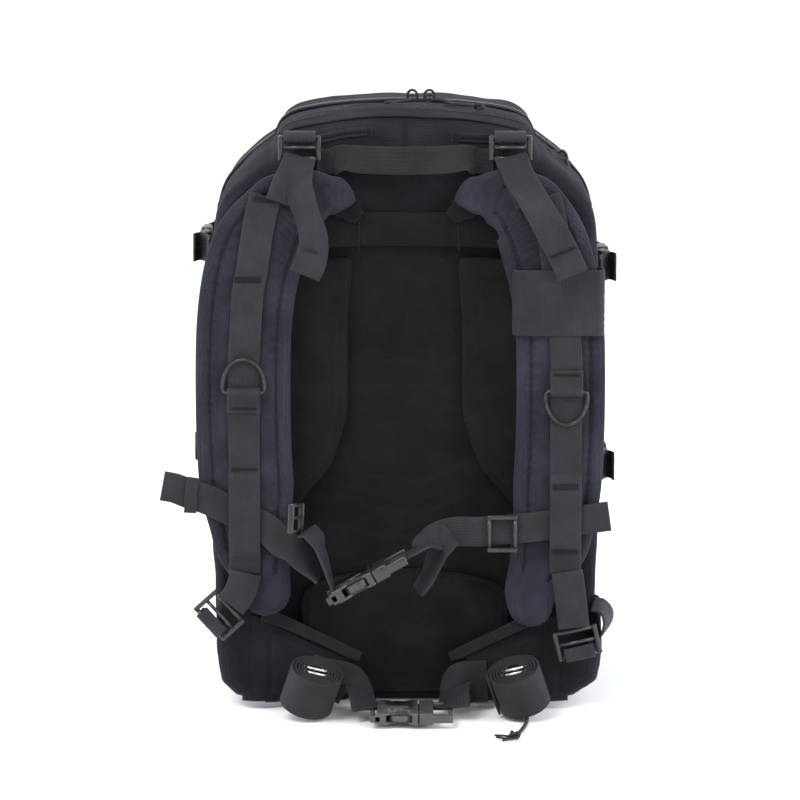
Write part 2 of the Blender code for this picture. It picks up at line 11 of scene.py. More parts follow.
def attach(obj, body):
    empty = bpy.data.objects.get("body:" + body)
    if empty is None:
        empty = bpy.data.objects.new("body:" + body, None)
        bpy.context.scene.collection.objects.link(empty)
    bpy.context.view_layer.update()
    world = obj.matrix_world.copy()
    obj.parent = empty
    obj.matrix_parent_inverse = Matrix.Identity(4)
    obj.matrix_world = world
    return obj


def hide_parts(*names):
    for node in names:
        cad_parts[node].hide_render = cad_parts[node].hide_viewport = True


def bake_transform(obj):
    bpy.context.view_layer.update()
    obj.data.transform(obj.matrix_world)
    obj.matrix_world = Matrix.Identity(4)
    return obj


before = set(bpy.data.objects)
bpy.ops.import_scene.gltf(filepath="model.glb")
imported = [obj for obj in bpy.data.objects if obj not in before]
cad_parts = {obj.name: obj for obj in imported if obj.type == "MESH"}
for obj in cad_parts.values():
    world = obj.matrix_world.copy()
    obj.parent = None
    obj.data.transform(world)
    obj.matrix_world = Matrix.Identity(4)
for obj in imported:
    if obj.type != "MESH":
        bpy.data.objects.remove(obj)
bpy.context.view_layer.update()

# Dimensions repeated from the CAD, in metres
BACK_Y = -0.055
SEAM_Y = 0.055
FRONT_Y = 0.0558
FRONT_END_Y = 0.1478
BAG_TOP = 0.476
STRAP_OUT = 0.037
STRAP_THICK = 0.014
WEB_THICK = 0.002
WEBBING = 0.025
HIP_WEBBING = 0.038
CORD = 0.003
SKIN_OUT = STRAP_OUT + STRAP_THICK / 2
BAG_HALF_WIDTH = 0.156
SIDES = {"left": -1, "right": 1}

OUTWARDS = Vector((0, -1, 0))
ACROSS = Vector((1, 0, 0))
UPWARDS = Vector((0, 0, 1))

# Sewing and moulding that several pieces share
SEAM_WIDTH = 0.0014
STRAP_SEAM = 0.0115
STITCH_LIFT = 0.0003
SOCKET_SHARE = 0.58
BUCKLE_PLATE = 0.0019
BUCKLE_RAIL = 0.0022


def at(x, out, z):
    """A point that is so far in front of the back panel."""
    return Vector((x, BACK_Y - out, z))


# Camera, floor and light


def add_object(name, data):
    made = bpy.data.objects.new(name, data)
    bpy.context.scene.collection.objects.link(made)
    return made


def add_camera():
    distance, elevation, frame_width, sensor = 3.0, math.radians(10), 0.64, 36.0
    middle = Vector((-0.004, BACK_Y, 0.2477))
    data = bpy.data.cameras.new("camera")
    data.sensor_width = sensor
    data.lens = sensor * distance / frame_width
    data.clip_end = 100
    camera = add_object("camera", data)
    back = Vector((0, -math.cos(elevation), math.sin(elevation)))
    camera.location = middle + back * distance
    camera.rotation_mode = "QUATERNION"
    camera.rotation_quaternion = (-back).to_track_quat("-Z", "Y")
    bpy.context.scene.camera = camera


def add_area_light(name, place, size, power, colour=(1, 1, 1)):
    data = bpy.data.lights.new(name, "AREA")
    data.shape = "RECTANGLE"
    data.size, data.size_y = size
    data.energy = power
    data.color = colour
    light = add_object(name, data)
    light.location = place
    aim = Vector((0, 0, 0.22)) - Vector(place)
    light.rotation_euler = aim.to_track_quat("-Z", "Y").to_euler()


def add_studio():
    world = bpy.data.worlds.new("studio")
    bpy.context.scene.world = world
    world.use_nodes = True
    background = world.node_tree.nodes["Background"]
    background.inputs["Color"].default_value = (0.97, 0.98, 1.0, 1)
    background.inputs["Strength"].default_value = 1.25
    bpy.context.scene.view_settings.view_transform = "Standard"
    cool = (0.8, 0.88, 1.0)
    add_area_light("key_light", (-1.1, -1.7, 2.4), (1.2, 1.2), 56)
    add_area_light("fill_light", (1.9, -1.6, 1.1), (1.2, 1.6), 32)
    add_area_light("left_light", (-2.3, 0.15, 0.9), (0.7, 1.8), 38, cool)
    add_area_light("right_light", (2.3, 0.15, 0.9), (0.7, 1.8), 34, cool)
    size, below = 30, 0.0004
    corners = [(-size, -size, 0), (size, -size, 0), (size, size, 0), (-size, size, 0)]
    floor = bpy.data.meshes.new("floor")
    floor.from_pydata(corners, [], [(0, 1, 2, 3)])
    shown = add_object("floor", floor)
    shown.location.z = -below
    pale = bpy.data.materials.new("floor")
    pale.use_nodes = True
    shader = pale.node_tree.nodes["Principled BSDF"]
    shader.inputs["Base Color"].default_value = (0.93, 0.93, 0.93, 1)
    shader.inputs["Roughness"].default_value = 0.6
    floor.materials.append(pale)


# Materials


class Recipe:
    """A material that is put together node by node."""

    def __init__(self, name, roughness, metallic=0.0, sheen=0.0, specular=0.5):
        self.material = bpy.data.materials.new(name)
        self.material.use_nodes = True
        self.tree = self.material.node_tree
        self.shader = self.tree.nodes["Principled BSDF"]
        self.set(self.shader, Roughness=roughness, Metallic=metallic)
        self.shader.inputs["Sheen Weight"].default_value = sheen
        self.shader.inputs["Sheen Roughness"].default_value = 0.45
        self.shader.inputs["Sheen Tint"].default_value = (0.72, 0.8, 1.0, 1)
        self.shader.inputs["Specular IOR Level"].default_value = specular
        self.bumps = None

    def feed(self, socket, value):
        """Links a socket to another node's output, or sets its own value."""
        if isinstance(value, bpy.types.NodeSocket):
            self.tree.links.new(value, socket)
        else:
            socket.default_value = value

    def set(self, node, **values):
        for key, value in values.items():
            self.feed(node.inputs[key.replace("_", " ")], value)

    def node(self, kind, settings=None, **values):
        made = self.tree.nodes.new(kind)
        for key, value in (settings or {}).items():
            setattr(made, key, value)
        self.set(made, **values)
        return made

    def place(self):
        return self.node("ShaderNodeTexCoord").outputs["Object"]

    def math(self, operation, a, b=0.0):
        made = self.node("ShaderNodeMath", {"operation": operation})
        self.feed(made.inputs[0], a)
        self.feed(made.inputs[1], b)
        return made.outputs[0]

    def noise(self, scale, detail=3.0, roughness=0.55, vector=None):
        made = self.node("ShaderNodeTexNoise", Scale=scale, Detail=detail, Roughness=roughness)
        self.tree.links.new(vector or self.place(), made.inputs["Vector"])
        return made.outputs["Fac"]

    def wave(self, direction, pitch, vector=None, distortion=0.0):
        made = self.node("ShaderNodeTexWave", {"bands_direction": direction}, Scale=math.pi / (10 * pitch))
        made.inputs["Distortion"].default_value = distortion
        self.tree.links.new(vector or self.place(), made.inputs["Vector"])
        return made.outputs["Fac"]

    def mapped(self, setting, values):
        """The object's coordinates, turned or stretched."""
        made = self.node("ShaderNodeMapping", None, **{setting: values})
        self.tree.links.new(self.place(), made.inputs["Vector"])
        return made.outputs[0]

    def ramp(self, value, low, high, colours):
        made = self.node("ShaderNodeValToRGB", Fac=value)
        ramp = made.color_ramp
        ramp.elements[0].position, ramp.elements[1].position = low, high
        for element, colour in zip(ramp.elements, colours):
            element.color = (*colour, 1)
        return made.outputs["Color"]

    def mix(self, kind, share, a, b):
        made = self.node("ShaderNodeMix", {"data_type": "RGBA", "blend_type": kind})
        for place, value in ((0, share), (6, a), (7, b)):
            self.feed(made.inputs[place], (*value, 1) if isinstance(value, tuple) else value)
        return made.outputs[2]

    def bump(self, height, distance, strength=1.0):
        made = self.node("ShaderNodeBump", Distance=distance, Strength=strength, Height=height)
        if self.bumps is not None:
            self.tree.links.new(self.bumps, made.inputs["Normal"])
        self.bumps = made.outputs["Normal"]

    def edge_wear_and_highlight(self, colour, share):
        """Paler where the surface turns sharply outwards: partly edge wear, partly a painted highlight where
        rounded edges catch the light.
        """
        point = self.node("ShaderNodeNewGeometry").outputs["Pointiness"]
        edge = self.ramp(point, 0.52, 0.6, greys(0, share))
        return self.mix("ADD", edge, colour, (0.05, 0.05, 0.05))

    def done(self, colour, roughness=None):
        self.set(self.shader, Base_Color=colour)
        if roughness is not None:
            self.set(self.shader, Roughness=roughness)
        if self.bumps is not None:
            self.set(self.shader, Normal=self.bumps)
        return self.material


def scaled(colour, factor):
    return tuple(c * factor for c in colour)


def greys(first, second):
    return (first,) * 3, (second,) * 3


def shades(colour, dark, pale):
    return scaled(colour, dark), scaled(colour, pale)


def woven_fabric(name, colour, pitch=0.0011, sheen=0.045):
    """Plain-woven nylon: crossing threads, faint slubs, lint and cloudy variation."""
    made = Recipe(name, 0.82, sheen=sheen, specular=0.16)
    threads = [made.wave(direction, pitch, distortion=0.4) for direction in "XYZ"]
    weave = made.math("ADD", made.math("ADD", threads[0], threads[1]), threads[2])
    clouds = made.noise(28, 4)
    base = made.ramp(clouds, 0.32, 0.7, shades(colour, 0.72, 1.3))
    shade = made.ramp(made.math("MULTIPLY", weave, 0.333), 0.15, 0.85, greys(0.62, 1.15))
    base = made.mix("MULTIPLY", 1.0, base, shade)
    lint = made.ramp(made.noise(900, 2), 0.66, 0.8, greys(0, 1))
    flecks = made.mix("MULTIPLY", 1.0, lint, (0.5, 0.5, 0.5))
    base = made.mix("ADD", flecks, base, (0.012, 0.012, 0.014))
    # Paler edges: partly wear, partly a painted highlight where the cloth turns.
    base = made.edge_wear_and_highlight(base, 0.1)
    made.bump(made.noise(130, 3), 0.001, 0.35)
    made.bump(weave, 0.00028, 0.8)
    return made.done(base, made.ramp(clouds, 0.3, 0.7, greys(0.88, 0.72)))


def woven_webbing(name, colour, sheen=0.03):
    """Nylon webbing: ribs along it and herringbone picks across it, laid out by its width and length."""
    made = Recipe(name, 0.66, sheen=sheen, specular=0.22)
    flat = made.node("ShaderNodeUVMap", {"uv_map": "weave"}).outputs["UV"]
    across, along, _ = made.node("ShaderNodeSeparateXYZ", Vector=flat).outputs
    zigzag = made.math("PINGPONG", across, 0.0016)
    picked = made.node("ShaderNodeCombineXYZ", X=made.math("ADD", along, zigzag))
    picks = made.wave("X", 0.0011, picked.outputs[0])
    ribs = made.wave("X", 0.0016, flat)
    weave = made.math("ADD", made.math("MULTIPLY", picks, 0.6), made.math("MULTIPLY", ribs, 0.6))
    clouds = made.noise(45, 4)
    base = made.ramp(clouds, 0.3, 0.72, shades(colour, 0.8, 1.22))
    # The weave's height also sets the colour: painted shade in the grooves between the threads and painted
    # highlight on their tops.
    base = made.mix("MULTIPLY", 1.0, base, made.ramp(weave, 0.1, 1.05, greys(0.5, 1.22)))
    # Paler edges: partly wear, partly a painted highlight where the webbing turns.
    base = made.edge_wear_and_highlight(base, 0.15)
    made.bump(weave, 0.00035, 0.9)
    return made.done(base, made.ramp(clouds, 0.3, 0.7, greys(0.72, 0.55)))


def moulded_plastic(name, colour, roughness=0.34, edge_wear_and_highlight_share=0.9, specular=0.55):
    """Moulded acetal: a fine grain, uneven polish, and paler edges that are partly rubbed wear and partly a
    painted highlight along the rims.
    """
    made = Recipe(name, roughness, specular=specular)
    base = made.ramp(made.noise(90, 4), 0.3, 0.75, shades(colour, 0.8, 1.35))
    base = made.edge_wear_and_highlight(base, edge_wear_and_highlight_share)
    rough = made.ramp(made.noise(260, 2, 0.5), 0.35, 0.75, greys(roughness * 0.75, roughness * 1.5))
    made.bump(made.noise(1500, 2), 0.00008, 0.5)
    return made.done(base, rough)


def worn_metal(name, colour, roughness=0.3):
    """Dark painted wire with rubbed bright spots, and paler edges that are partly rubbing and partly a
    painted highlight.
    """
    made = Recipe(name, roughness, metallic=0.85, specular=0.6)
    spots = made.noise(160, 4, 0.65)
    base = made.edge_wear_and_highlight(made.ramp(spots, 0.45, 0.72, shades(colour, 1, 2.4)), 0.6)
    rough = made.ramp(spots, 0.35, 0.75, greys(0.42, 0.24))
    made.bump(made.noise(700, 2), 0.00006, 0.4)
    return made.done(base, rough)


def twisted_cord(name, colour, pitch=0.0011):
    """Braided or twisted thread: two sets of slanting strands."""
    made = Recipe(name, 0.72, sheen=0.04, specular=0.25)
    turned = [made.mapped("Rotation", (angle, angle * 0.7, angle)) for angle in (0.6, -0.6)]
    braid = made.math("MAXIMUM", *[made.wave("X", pitch, vector) for vector in turned])
    # The braid's height sets the colour: painted shade between the strands and painted highlight on their
    # crowns.
    base = made.ramp(braid, 0.2, 0.9, shades(colour, 0.45, 1.35))
    base = made.mix("MULTIPLY", 0.5, base, made.ramp(made.noise(200, 2), 0.3, 0.7, greys(0.6, 1)))
    made.bump(braid, 0.0003, 0.9)
    return made.done(base)


def brushed_aluminium(name):
    made = Recipe(name, 0.38, metallic=1.0)
    streaks = made.noise(1400, 3, vector=made.mapped("Scale", (1.0, 1.0, 0.03)))
    base = made.ramp(streaks, 0.3, 0.7, ((0.5, 0.51, 0.52), (0.7, 0.71, 0.72)))
    made.bump(streaks, 0.00005, 0.4)
    return made.done(base)


FABRIC_COLOUR = (0.0066, 0.0069, 0.01)
STRAP_COLOUR = (0.0172, 0.018, 0.0258)
BACK_COLOUR = (0.0041, 0.0041, 0.0058)
WEB_COLOUR = (0.0155, 0.0159, 0.0198)
LOOKS = {
    "pack_fabric": woven_fabric("pack_fabric", FABRIC_COLOUR),
    "strap_fabric": woven_fabric("strap_fabric", STRAP_COLOUR),
    "back_fabric": woven_fabric("back_fabric", BACK_COLOUR, sheen=0.02),
    "lining": woven_fabric("lining", (0.03, 0.031, 0.036), pitch=0.0009),
    "binding": woven_fabric("binding", (0.012, 0.0124, 0.015), pitch=0.0008, sheen=0.03),
    "webbing": woven_webbing("webbing", WEB_COLOUR),
    "hip_webbing": woven_webbing("hip_webbing", (0.0118, 0.0121, 0.015)),
    "handle_webbing": woven_webbing("handle_webbing", (0.0084, 0.0086, 0.0106)),
    "elastic": woven_webbing("elastic", (0.013, 0.0134, 0.0172), 0.05),
    "plastic": moulded_plastic("plastic", (0.019, 0.019, 0.02)),
    # Roughness, then the share of paler edges (partly wear, partly painted highlight), then specular.
    "lock_plastic": moulded_plastic("lock_plastic", (0.013, 0.013, 0.014), 0.16, 0.35, 0.34),
    "waist_plastic": moulded_plastic("waist_plastic", (0.036, 0.037, 0.04), 0.32, 0.5, 0.35),
    "buckle_plastic": moulded_plastic("buckle_plastic", (0.013, 0.0128, 0.0125), 0.18, 0.5, 0.4),
    "sheet_plastic": moulded_plastic("sheet_plastic", (0.05, 0.05, 0.055), 0.5),
    "ring_metal": worn_metal("ring_metal", (0.022, 0.022, 0.024)),
    "bright_metal": worn_metal("bright_metal", (0.45, 0.45, 0.44), 0.26),
    "aluminium": brushed_aluminium("aluminium"),
    "thread": twisted_cord("thread", (0.008, 0.0082, 0.0095), 0.0006),
    "cord": twisted_cord("cord", (0.0165, 0.0165, 0.018)),
}


# Building blocks


def steps_between(a, b, spacing):
    return max(2, math.ceil((b - a).length / spacing))


def smooth_path(points, spacing):
    """Points close together along a Catmull-Rom curve through the given ones."""
    line = [Vector(p) for p in points]
    line = [line[0] * 2 - line[1], *line, line[-1] * 2 - line[-2]]
    path = []
    for i in range(1, len(line) - 2):
        a, b, c, d = line[i - 1 : i + 3]
        steps = steps_between(b, c, spacing)
        for k in range(steps):
            t = k / steps
            bend = (2 * a - 5 * b + 4 * c - d) * t**2 + (3 * b - a - 3 * c + d) * t**3
            path.append(0.5 * (2 * b + (c - a) * t + bend))
    path.append(line[-2])
    return path


def matched(values, points, spacing):
    """Values given at the points, spread over the path that smooth_path makes of them."""
    line = [Vector(p) for p in points]
    spread = []
    for i in range(len(line) - 1):
        steps = steps_between(line[i], line[i + 1], spacing)
        for k in range(steps):
            t = k / steps
            ease = t * t * (3 - 2 * t)
            spread.append(values[i] * (1 - ease) + values[i + 1] * ease)
    spread.append(values[-1])
    return spread


def mesh_of(name, shape):
    mesh = bpy.data.meshes.new(name)
    shape.to_mesh(mesh)
    shape.free()
    return mesh


def finish_mesh(name, shape, look, body, nodes=(), smooth=True):
    """Turns a bmesh into a piece that rides on a body and stands for CAD nodes."""
    bmesh.ops.recalc_face_normals(shape, faces=shape.faces)
    return finish_piece(name, mesh_of(name, shape), look, body, nodes, smooth)


def finish_piece(name, data, look, body, nodes=(), smooth=True):
    piece = add_object(name, data)
    looks = [look] if isinstance(look, str) else look
    for one in looks:
        data.materials.append(LOOKS[one])
    if smooth and isinstance(data, bpy.types.Mesh):
        data.polygons.foreach_set("use_smooth", [True] * len(data.polygons))
    if body:
        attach(piece, body)
    if nodes:
        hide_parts(*nodes)
    return piece


def skin(shape, rows, across=None, along=None, ends=True):
    """Quads over closed rows of points. across and along, in metres, are written to the weave's UV map."""
    weave = shape.loops.layers.uv.get("weave") or shape.loops.layers.uv.new("weave")
    grid = [[shape.verts.new(p) for p in row] for row in rows]
    count = len(grid[0])
    for j in range(len(grid) - 1):
        for i in range(count):
            k = (i + 1) % count
            face = shape.faces.new((grid[j][i], grid[j][k], grid[j + 1][k], grid[j + 1][i]))
            if across:
                places = ((j, i), (j, k), (j + 1, k), (j + 1, i))
                for loop, (row, column) in zip(face.loops, places):
                    loop[weave].uv = (across[column], along[row])
    if ends:
        shape.faces.new(grid[0][::-1])
        shape.faces.new(grid[-1])


def skin_piece(name, rows, look, body, nodes=()):
    shape = bmesh.new()
    skin(shape, rows)
    return finish_mesh(name, shape, look, body, nodes)


# Half of webbing's section: places across it, and how high it is there
WEB_PROFILE = ((-1, 0.3), (-0.985, 0.75), (-0.95, 1), (-0.6, 1), (-0.3, 1), (0, 1), (0.3, 1), (0.6, 1),
               (0.95, 1), (0.985, 0.75), (1, 0.3))


def distances(path):
    along = [0.0]
    for a, b in zip(path, path[1:]):
        along.append(along[-1] + (b - a).length)
    return along


def walk(path, targets):
    """The place at each of some rising distances along a path, after the number of the step that it is on."""
    along = distances(path)
    i = 0
    for target in targets:
        while along[i + 1] < target:
            i += 1
        yield i, path[i].lerp(path[i + 1], (target - along[i]) / (along[i + 1] - along[i]))


def evenly(path, count):
    """So many points spread evenly along a path. The path's own end isn't one of them."""
    total = distances(path)[-1]
    return [place for _, place in walk(path, [total * k / count for k in range(count)])]


def tangents(path):
    return [(path[min(i + 1, len(path) - 1)] - path[max(i - 1, 0)]).normalized() for i in range(len(path))]


def web(shape, points, width, faces=None, thick=WEB_THICK, spacing=0.003, ripple=0.00025, seed=0.0):
    """Flat webbing along a path. faces are the ways that it faces at the points; -Y if left out."""
    faces = faces or [OUTWARDS] * len(points)
    widths = width if isinstance(width, list) else [width] * len(points)
    path = smooth_path(points, spacing)
    looks = matched([Vector(f) for f in faces], points, spacing)
    spans = matched(widths, points, spacing)
    along = distances(path)
    rows = []
    for place, ahead, look, span, run in zip(path, tangents(path), looks, spans, along):
        side = ahead.cross(look).normalized()
        up = side.cross(ahead).normalized()
        row = []
        for face in (1, -1):
            for u, height in WEB_PROFILE[::face]:
                wobble = ripple * noise.noise(Vector((run / 0.012, u * 1.3, seed)))
                row.append(place + side * (u * span / 2) + up * (face * height * thick / 2 + wobble))
        rows.append(row)
    widest = max(spans)
    across = [widest * (u + 1) / 2 for u, _ in WEB_PROFILE + WEB_PROFILE[::-1]]
    skin(shape, rows, across, along)


def web_piece(name, points, width, body, nodes=(), look="webbing", **options):
    shape = bmesh.new()
    web(shape, points, width, **options)
    return finish_mesh(name, shape, look, body, nodes)


def split_route(route, base=0.0, sign=1):
    """A route's points and faces. Its rows are x, out and z, and the way it faces there if not outwards."""
    points = [at(sign * x, base + out, z) for x, out, z, *_ in route]
    return points, [row[3] if len(row) > 3 else OUTWARDS for row in route]


def laid_webbing(name, route, width, body, nodes=(), look="webbing", base=0.0, sign=1, **options):
    """Webbing along a route that is given in front of the back panel."""
    points, faces = split_route(route, base, sign)
    return web_piece(name, points, width, body, nodes, look, faces=faces, **options)


def rod(shape, points, radius, sides=12, closed=False):
    """A round bar along a path."""
    path = [Vector(p) for p in points]
    count = len(path)
    rows = []
    up = Vector((0.13, 0.21, 0.97))  # a direction that no path starts in
    angles = [2 * math.pi * k / sides for k in range(sides)]
    for i, place in enumerate(path):
        if closed:
            ahead = (path[(i + 1) % count] - path[i - 1]).normalized()
        else:
            ahead = (path[min(i + 1, count - 1)] - path[max(i - 1, 0)]).normalized()
        side = ahead.cross(up).normalized()
        up = side.cross(ahead)
        rows.append([place + (side * math.cos(angle) + up * math.sin(angle)) * radius for angle in angles])
    if closed:
        rows.append(rows[0])
    skin(shape, rows, ends=not closed)
    if closed:
        bmesh.ops.remove_doubles(shape, verts=shape.verts, dist=1e-6)


def ring_piece(name, points, radius, sides, look, body, nodes=()):
    """A closed loop of wire or cord."""
    shape = bmesh.new()
    rod(shape, points, radius, sides, closed=True)
    finish_mesh(name, shape, look, body, nodes)


def block(shape, low, high, rounding=0.0006, segments=2):
    """A box with rounded edges."""
    made = bmesh.ops.create_cube(shape, size=1)["verts"]
    low, high = Vector(low), Vector(high)
    bmesh.ops.scale(shape, vec=high - low, verts=made)
    bmesh.ops.translate(shape, vec=(low + high) / 2, verts=made)
    edges = list(dict.fromkeys(edge for v in made for edge in v.link_edges))
    bmesh.ops.bevel(shape, geom=edges, offset=rounding, segments=segments, affect="EDGES", profile=0.5)


def slab(shape, outline, low, high, rounding):
    """A flat outline given thickness along Z, with rounded edges."""
    bottom = [shape.verts.new((x, y, low)) for x, y in outline]
    top = [shape.verts.new((x, y, high)) for x, y in outline]
    rims = [shape.faces.new(bottom[::-1]), shape.faces.new(top)]
    for i in range(len(outline)):
        j = (i + 1) % len(outline)
        shape.faces.new((bottom[i], bottom[j], top[j], top[i]))
    edges = [edge for face in rims for edge in face.edges]
    bmesh.ops.bevel(shape, geom=edges, offset=rounding, segments=2, affect="EDGES", profile=0.5)


def round_lines(name, lines, radius, resolution):
    """Round lines through the given points, as one curve."""
    curve = bpy.data.curves.new(name, "CURVE")
    curve.dimensions = "3D"
    curve.bevel_depth = radius
    curve.bevel_resolution = resolution
    for line in lines:
        spline = curve.splines.new("POLY")
        spline.points.add(len(line) - 1)
        for point, place in zip(spline.points, line):
            point.co = (*place, 1)
    return curve


def thread_piece(name, lines, body, radius=0.00035):
    """Stitches: each line is one thread that lies on the cloth."""
    return finish_piece(name, round_lines(name, lines, radius, 1), "thread", body, ())


def bartack(middle, side=ACROSS, ahead=UPWARDS, up=OUTWARDS, width=0.021, depth=0.0022):
    """One dense zigzag row of stitches."""
    count = int(width / 0.0009)
    return [
        middle + side * (width * (k / count - 0.5)) + ahead * (depth / 2 * (-1) ** k) + up * 0.0002
        for k in range(count + 1)
    ]


def stitch_line(path, ups, pitch=0.0034, length=0.0024):
    """A row of single stitches along a path on the cloth, each with its ends sunk in."""
    total = distances(path)[-1]
    targets, reach = [], 0.0
    while reach + length < total:
        targets += [reach, reach + length / 2, reach + length]
        reach += pitch
    lifts = (-STITCH_LIFT, STITCH_LIFT, -STITCH_LIFT)
    places = [place + ups[i] * lifts[k % 3] for k, (i, place) in enumerate(walk(path, targets))]
    return [places[k : k + 3] for k in range(0, len(places), 3)]


# Cords


def lay_cord(name, points, body, node, knot_name, knot_middle, turn, tails=()):
    """A round cord with a knot at its far end."""
    path = smooth_path(points, 0.0018)
    curve = round_lines(name, [path], CORD / 2, 4)
    curve.use_fill_caps = True
    cord = finish_piece(name, curve, "cord", body, (node,))
    knot = add_knot(knot_name, knot_middle, turn, body, tails)


def add_knot(name, middle, turn, body, tails):
    """A tight overhand knot, with its cut ends."""
    shape = bmesh.new()
    size, count = 0.0085, 44
    loop = []
    for k in range(count):
        t = 2 * math.pi * k / count
        x = math.sin(t) + 2 * math.sin(2 * t)
        y = math.cos(t) - 2 * math.cos(2 * t)
        flat = Vector((x, y, -1.3 * math.sin(3 * t)))
        flat.rotate(Matrix.Rotation(turn, 3, "Z"))
        loop.append(Vector(middle) + flat * size / 6)
    rod(shape, loop, CORD * 0.4, 10, closed=True)
    for tail in tails:
        rod(shape, smooth_path(tail, 0.0015), CORD * 0.3, 8)
    return finish_mesh(name, shape, "cord", body)


def add_cords():
    """Zip pulls and the drawcord end, along the routes that the CAD has."""
    pulls = {
        "left": [(0.006, -0.0056), (0.0, -0.018), (-0.01, -0.03), (-0.012, -0.044)],
        "right": [(0.02, -0.0056), (0.032, -0.016), (0.04, -0.034), (0.054, -0.052), (0.06, -0.066)],
    }
    gap = 0.0004
    top = BAG_TOP + gap + CORD / 2 + gap
    for side, route in pulls.items():
        points = [Vector((x, SEAM_Y + y, top + 0.0006 * math.sin(i * 2.1))) for i, (x, y) in enumerate(route)]
        lay_cord(f"zip_cord_{side}", points, f"{side}_zip", f"zip_pull_{side}", f"zip_knot_{side}",
                 points[-1], 0.4)
    z = CORD / 2 + 0.0002
    route = [(0.1, 0.003, 0.0095), (0.1, 0.008, 0.0042), (0.099, 0.02, z), (0.098, 0.045, z),
             (0.096, 0.075, z), (0.091, 0.1, z), (0.085, 0.12, z)]
    points = [at(*place) for place in route]
    end = points[-1]
    strands = [
        ((-0.007, -0.003, 0), (-0.014, -0.001, 0.0006)),
        ((-0.005, -0.006, 0), (-0.009, -0.011, 0.0004)),
        ((-0.007, 0.001, 0.001), (-0.015, 0.004, 0.0006)),
    ]
    tails = [[end, *[end + Vector(step) for step in strand]] for strand in strands]
    lay_cord("base_drawcord", points, "pack", "base_cord", "base_knot", end + UPWARDS * 0.002, 1.1, tails)


# The bag's two halves

# Half of the bag's outline from the middle of its base to the middle of its top: x, z
HALF_OUTLINE = [
    (0.0, 0.0), (0.06, 0.0), (0.098, 0.0012), (0.124, 0.006), (0.1415, 0.0155), (0.15, 0.032),
    (0.1525, 0.065), (0.1552, 0.13), (0.156, 0.21), (0.1555, 0.3), (0.153, 0.375), (0.147, 0.408),
    (0.13, 0.43), (0.113, 0.444), (0.105, 0.45), (0.103, 0.456), (0.098, 0.4635),
    (0.084, 0.47), (0.05, 0.4752), (0.0, 0.4775),
]


def bag_outline():
    count = 400
    half = [Vector((x, 0, z)) for x, z in HALF_OUTLINE]
    whole = half + [Vector((-p.x, 0, p.z)) for p in half[-2:0:-1]]
    return evenly(smooth_path(whole + [whole[0]], 0.002), count)


OUTLINE = bag_outline()
MIDDLE = Vector((0, 0, 0.236))  # of the bag's outline


def inset_outline(amount):
    across, up = 1 - amount / BAG_HALF_WIDTH, 1 - amount / (BAG_TOP / 2)
    return [Vector((p.x * across, 0, MIDDLE.z + (p.z - MIDDLE.z) * up)) for p in OUTLINE]


def soft_noise(p, size, seed=0.0):
    return noise.noise(Vector((p.x / size[0], p.y / size[1], p.z / size[2])) + Vector((seed, seed * 0.7, 0)))


def crease(p, start, end, width, depth):
    """How far a fold between two points moves p, fading at its ends."""
    start = Vector(start)
    line = Vector(end) - start
    share = max(0.0, min(1.0, (p - start).dot(line) / line.length_squared))
    away = (p - start - line * share).length
    fade = math.sin(math.pi * min(1.0, max(0.0, 0.06 + 0.88 * share)))
    return depth * math.exp(-((away / width) ** 2)) * fade


def bag_half(name, rings, closing, look, body, nodes, shaped):
    """A soft tray: rings from the open seam to the closed wall, then rings across that wall."""
    shape = bmesh.new()
    rows = [[Vector((p.x, y, p.z)) for p in inset_outline(inset)] for y, inset in rings]
    last = rows[-1]
    steps = 70
    for k in range(1, steps):
        share = 1 - k / steps
        rows.append([Vector((p.x * share, closing, MIDDLE.z + (p.z - MIDDLE.z) * share)) for p in last])
    skin(shape, rows, ends=False)
    shape.verts.ensure_lookup_table()
    shape.faces.new(shape.verts[-len(OUTLINE):])
    bmesh.ops.recalc_face_normals(shape, faces=shape.faces)
    outwards = 1 if closing > rings[0][0] else -1
    if shape.faces[:][-1].normal.y * outwards < 0:
        bmesh.ops.reverse_faces(shape, faces=shape.faces)
    shape.normal_update()
    moves = [(v, v.normal.copy()) for v in shape.verts]
    for vert, normal in moves:
        vert.co = shaped(vert.co.copy(), normal)
    piece = finish_piece(name, mesh_of(name, shape), look, body, nodes)
    thick = piece.modifiers.new("thickness", "SOLIDIFY")
    thick.thickness = 0.0025
    thick.offset = -1
    thick.material_offset = len(look) - 1
    return piece


# Folds in the rear half: start, end, width and depth
LID_FOLDS = [
    ((-0.098, -0.01, 0.46), (-0.015, 0.01, 0.474), 0.005, -0.0022),
    ((-0.094, 0.02, 0.466), (-0.03, 0.03, 0.476), 0.005, -0.0018),
    ((-0.08, 0.0, 0.47), (-0.02, 0.036, 0.476), 0.006, 0.002),
    ((0.03, 0.02, 0.476), (0.096, 0.02, 0.463), 0.006, -0.0022),
    ((0.02, 0.0, 0.474), (0.09, -0.012, 0.462), 0.0045, -0.0015),
    ((0.01, 0.014, 0.476), (0.05, 0.04, 0.478), 0.005, 0.0015),
    ((-0.15, 0.01, 0.4), (-0.112, -0.01, 0.444), 0.006, -0.002),
    ((0.15, 0.01, 0.4), (0.112, -0.01, 0.444), 0.006, -0.002),
    ((-0.15, -0.02, 0.38), (-0.156, 0.04, 0.34), 0.008, -0.002),
    ((0.15, -0.02, 0.38), (0.156, 0.04, 0.33), 0.008, -0.002),
]

# Wrinkles in the middle of the back panel: height at the left, middle and right, and depth
CHANNEL_FOLDS = [(0.279, 0.282, 0.28, 0.0012), (0.236, 0.229, 0.233, 0.001), (0.196, 0.186, 0.198, 0.0016),
                 (0.17, 0.16, 0.172, 0.0016), (0.146, 0.14, 0.15, 0.0012), (0.258, 0.262, 0.25, 0.0007)]


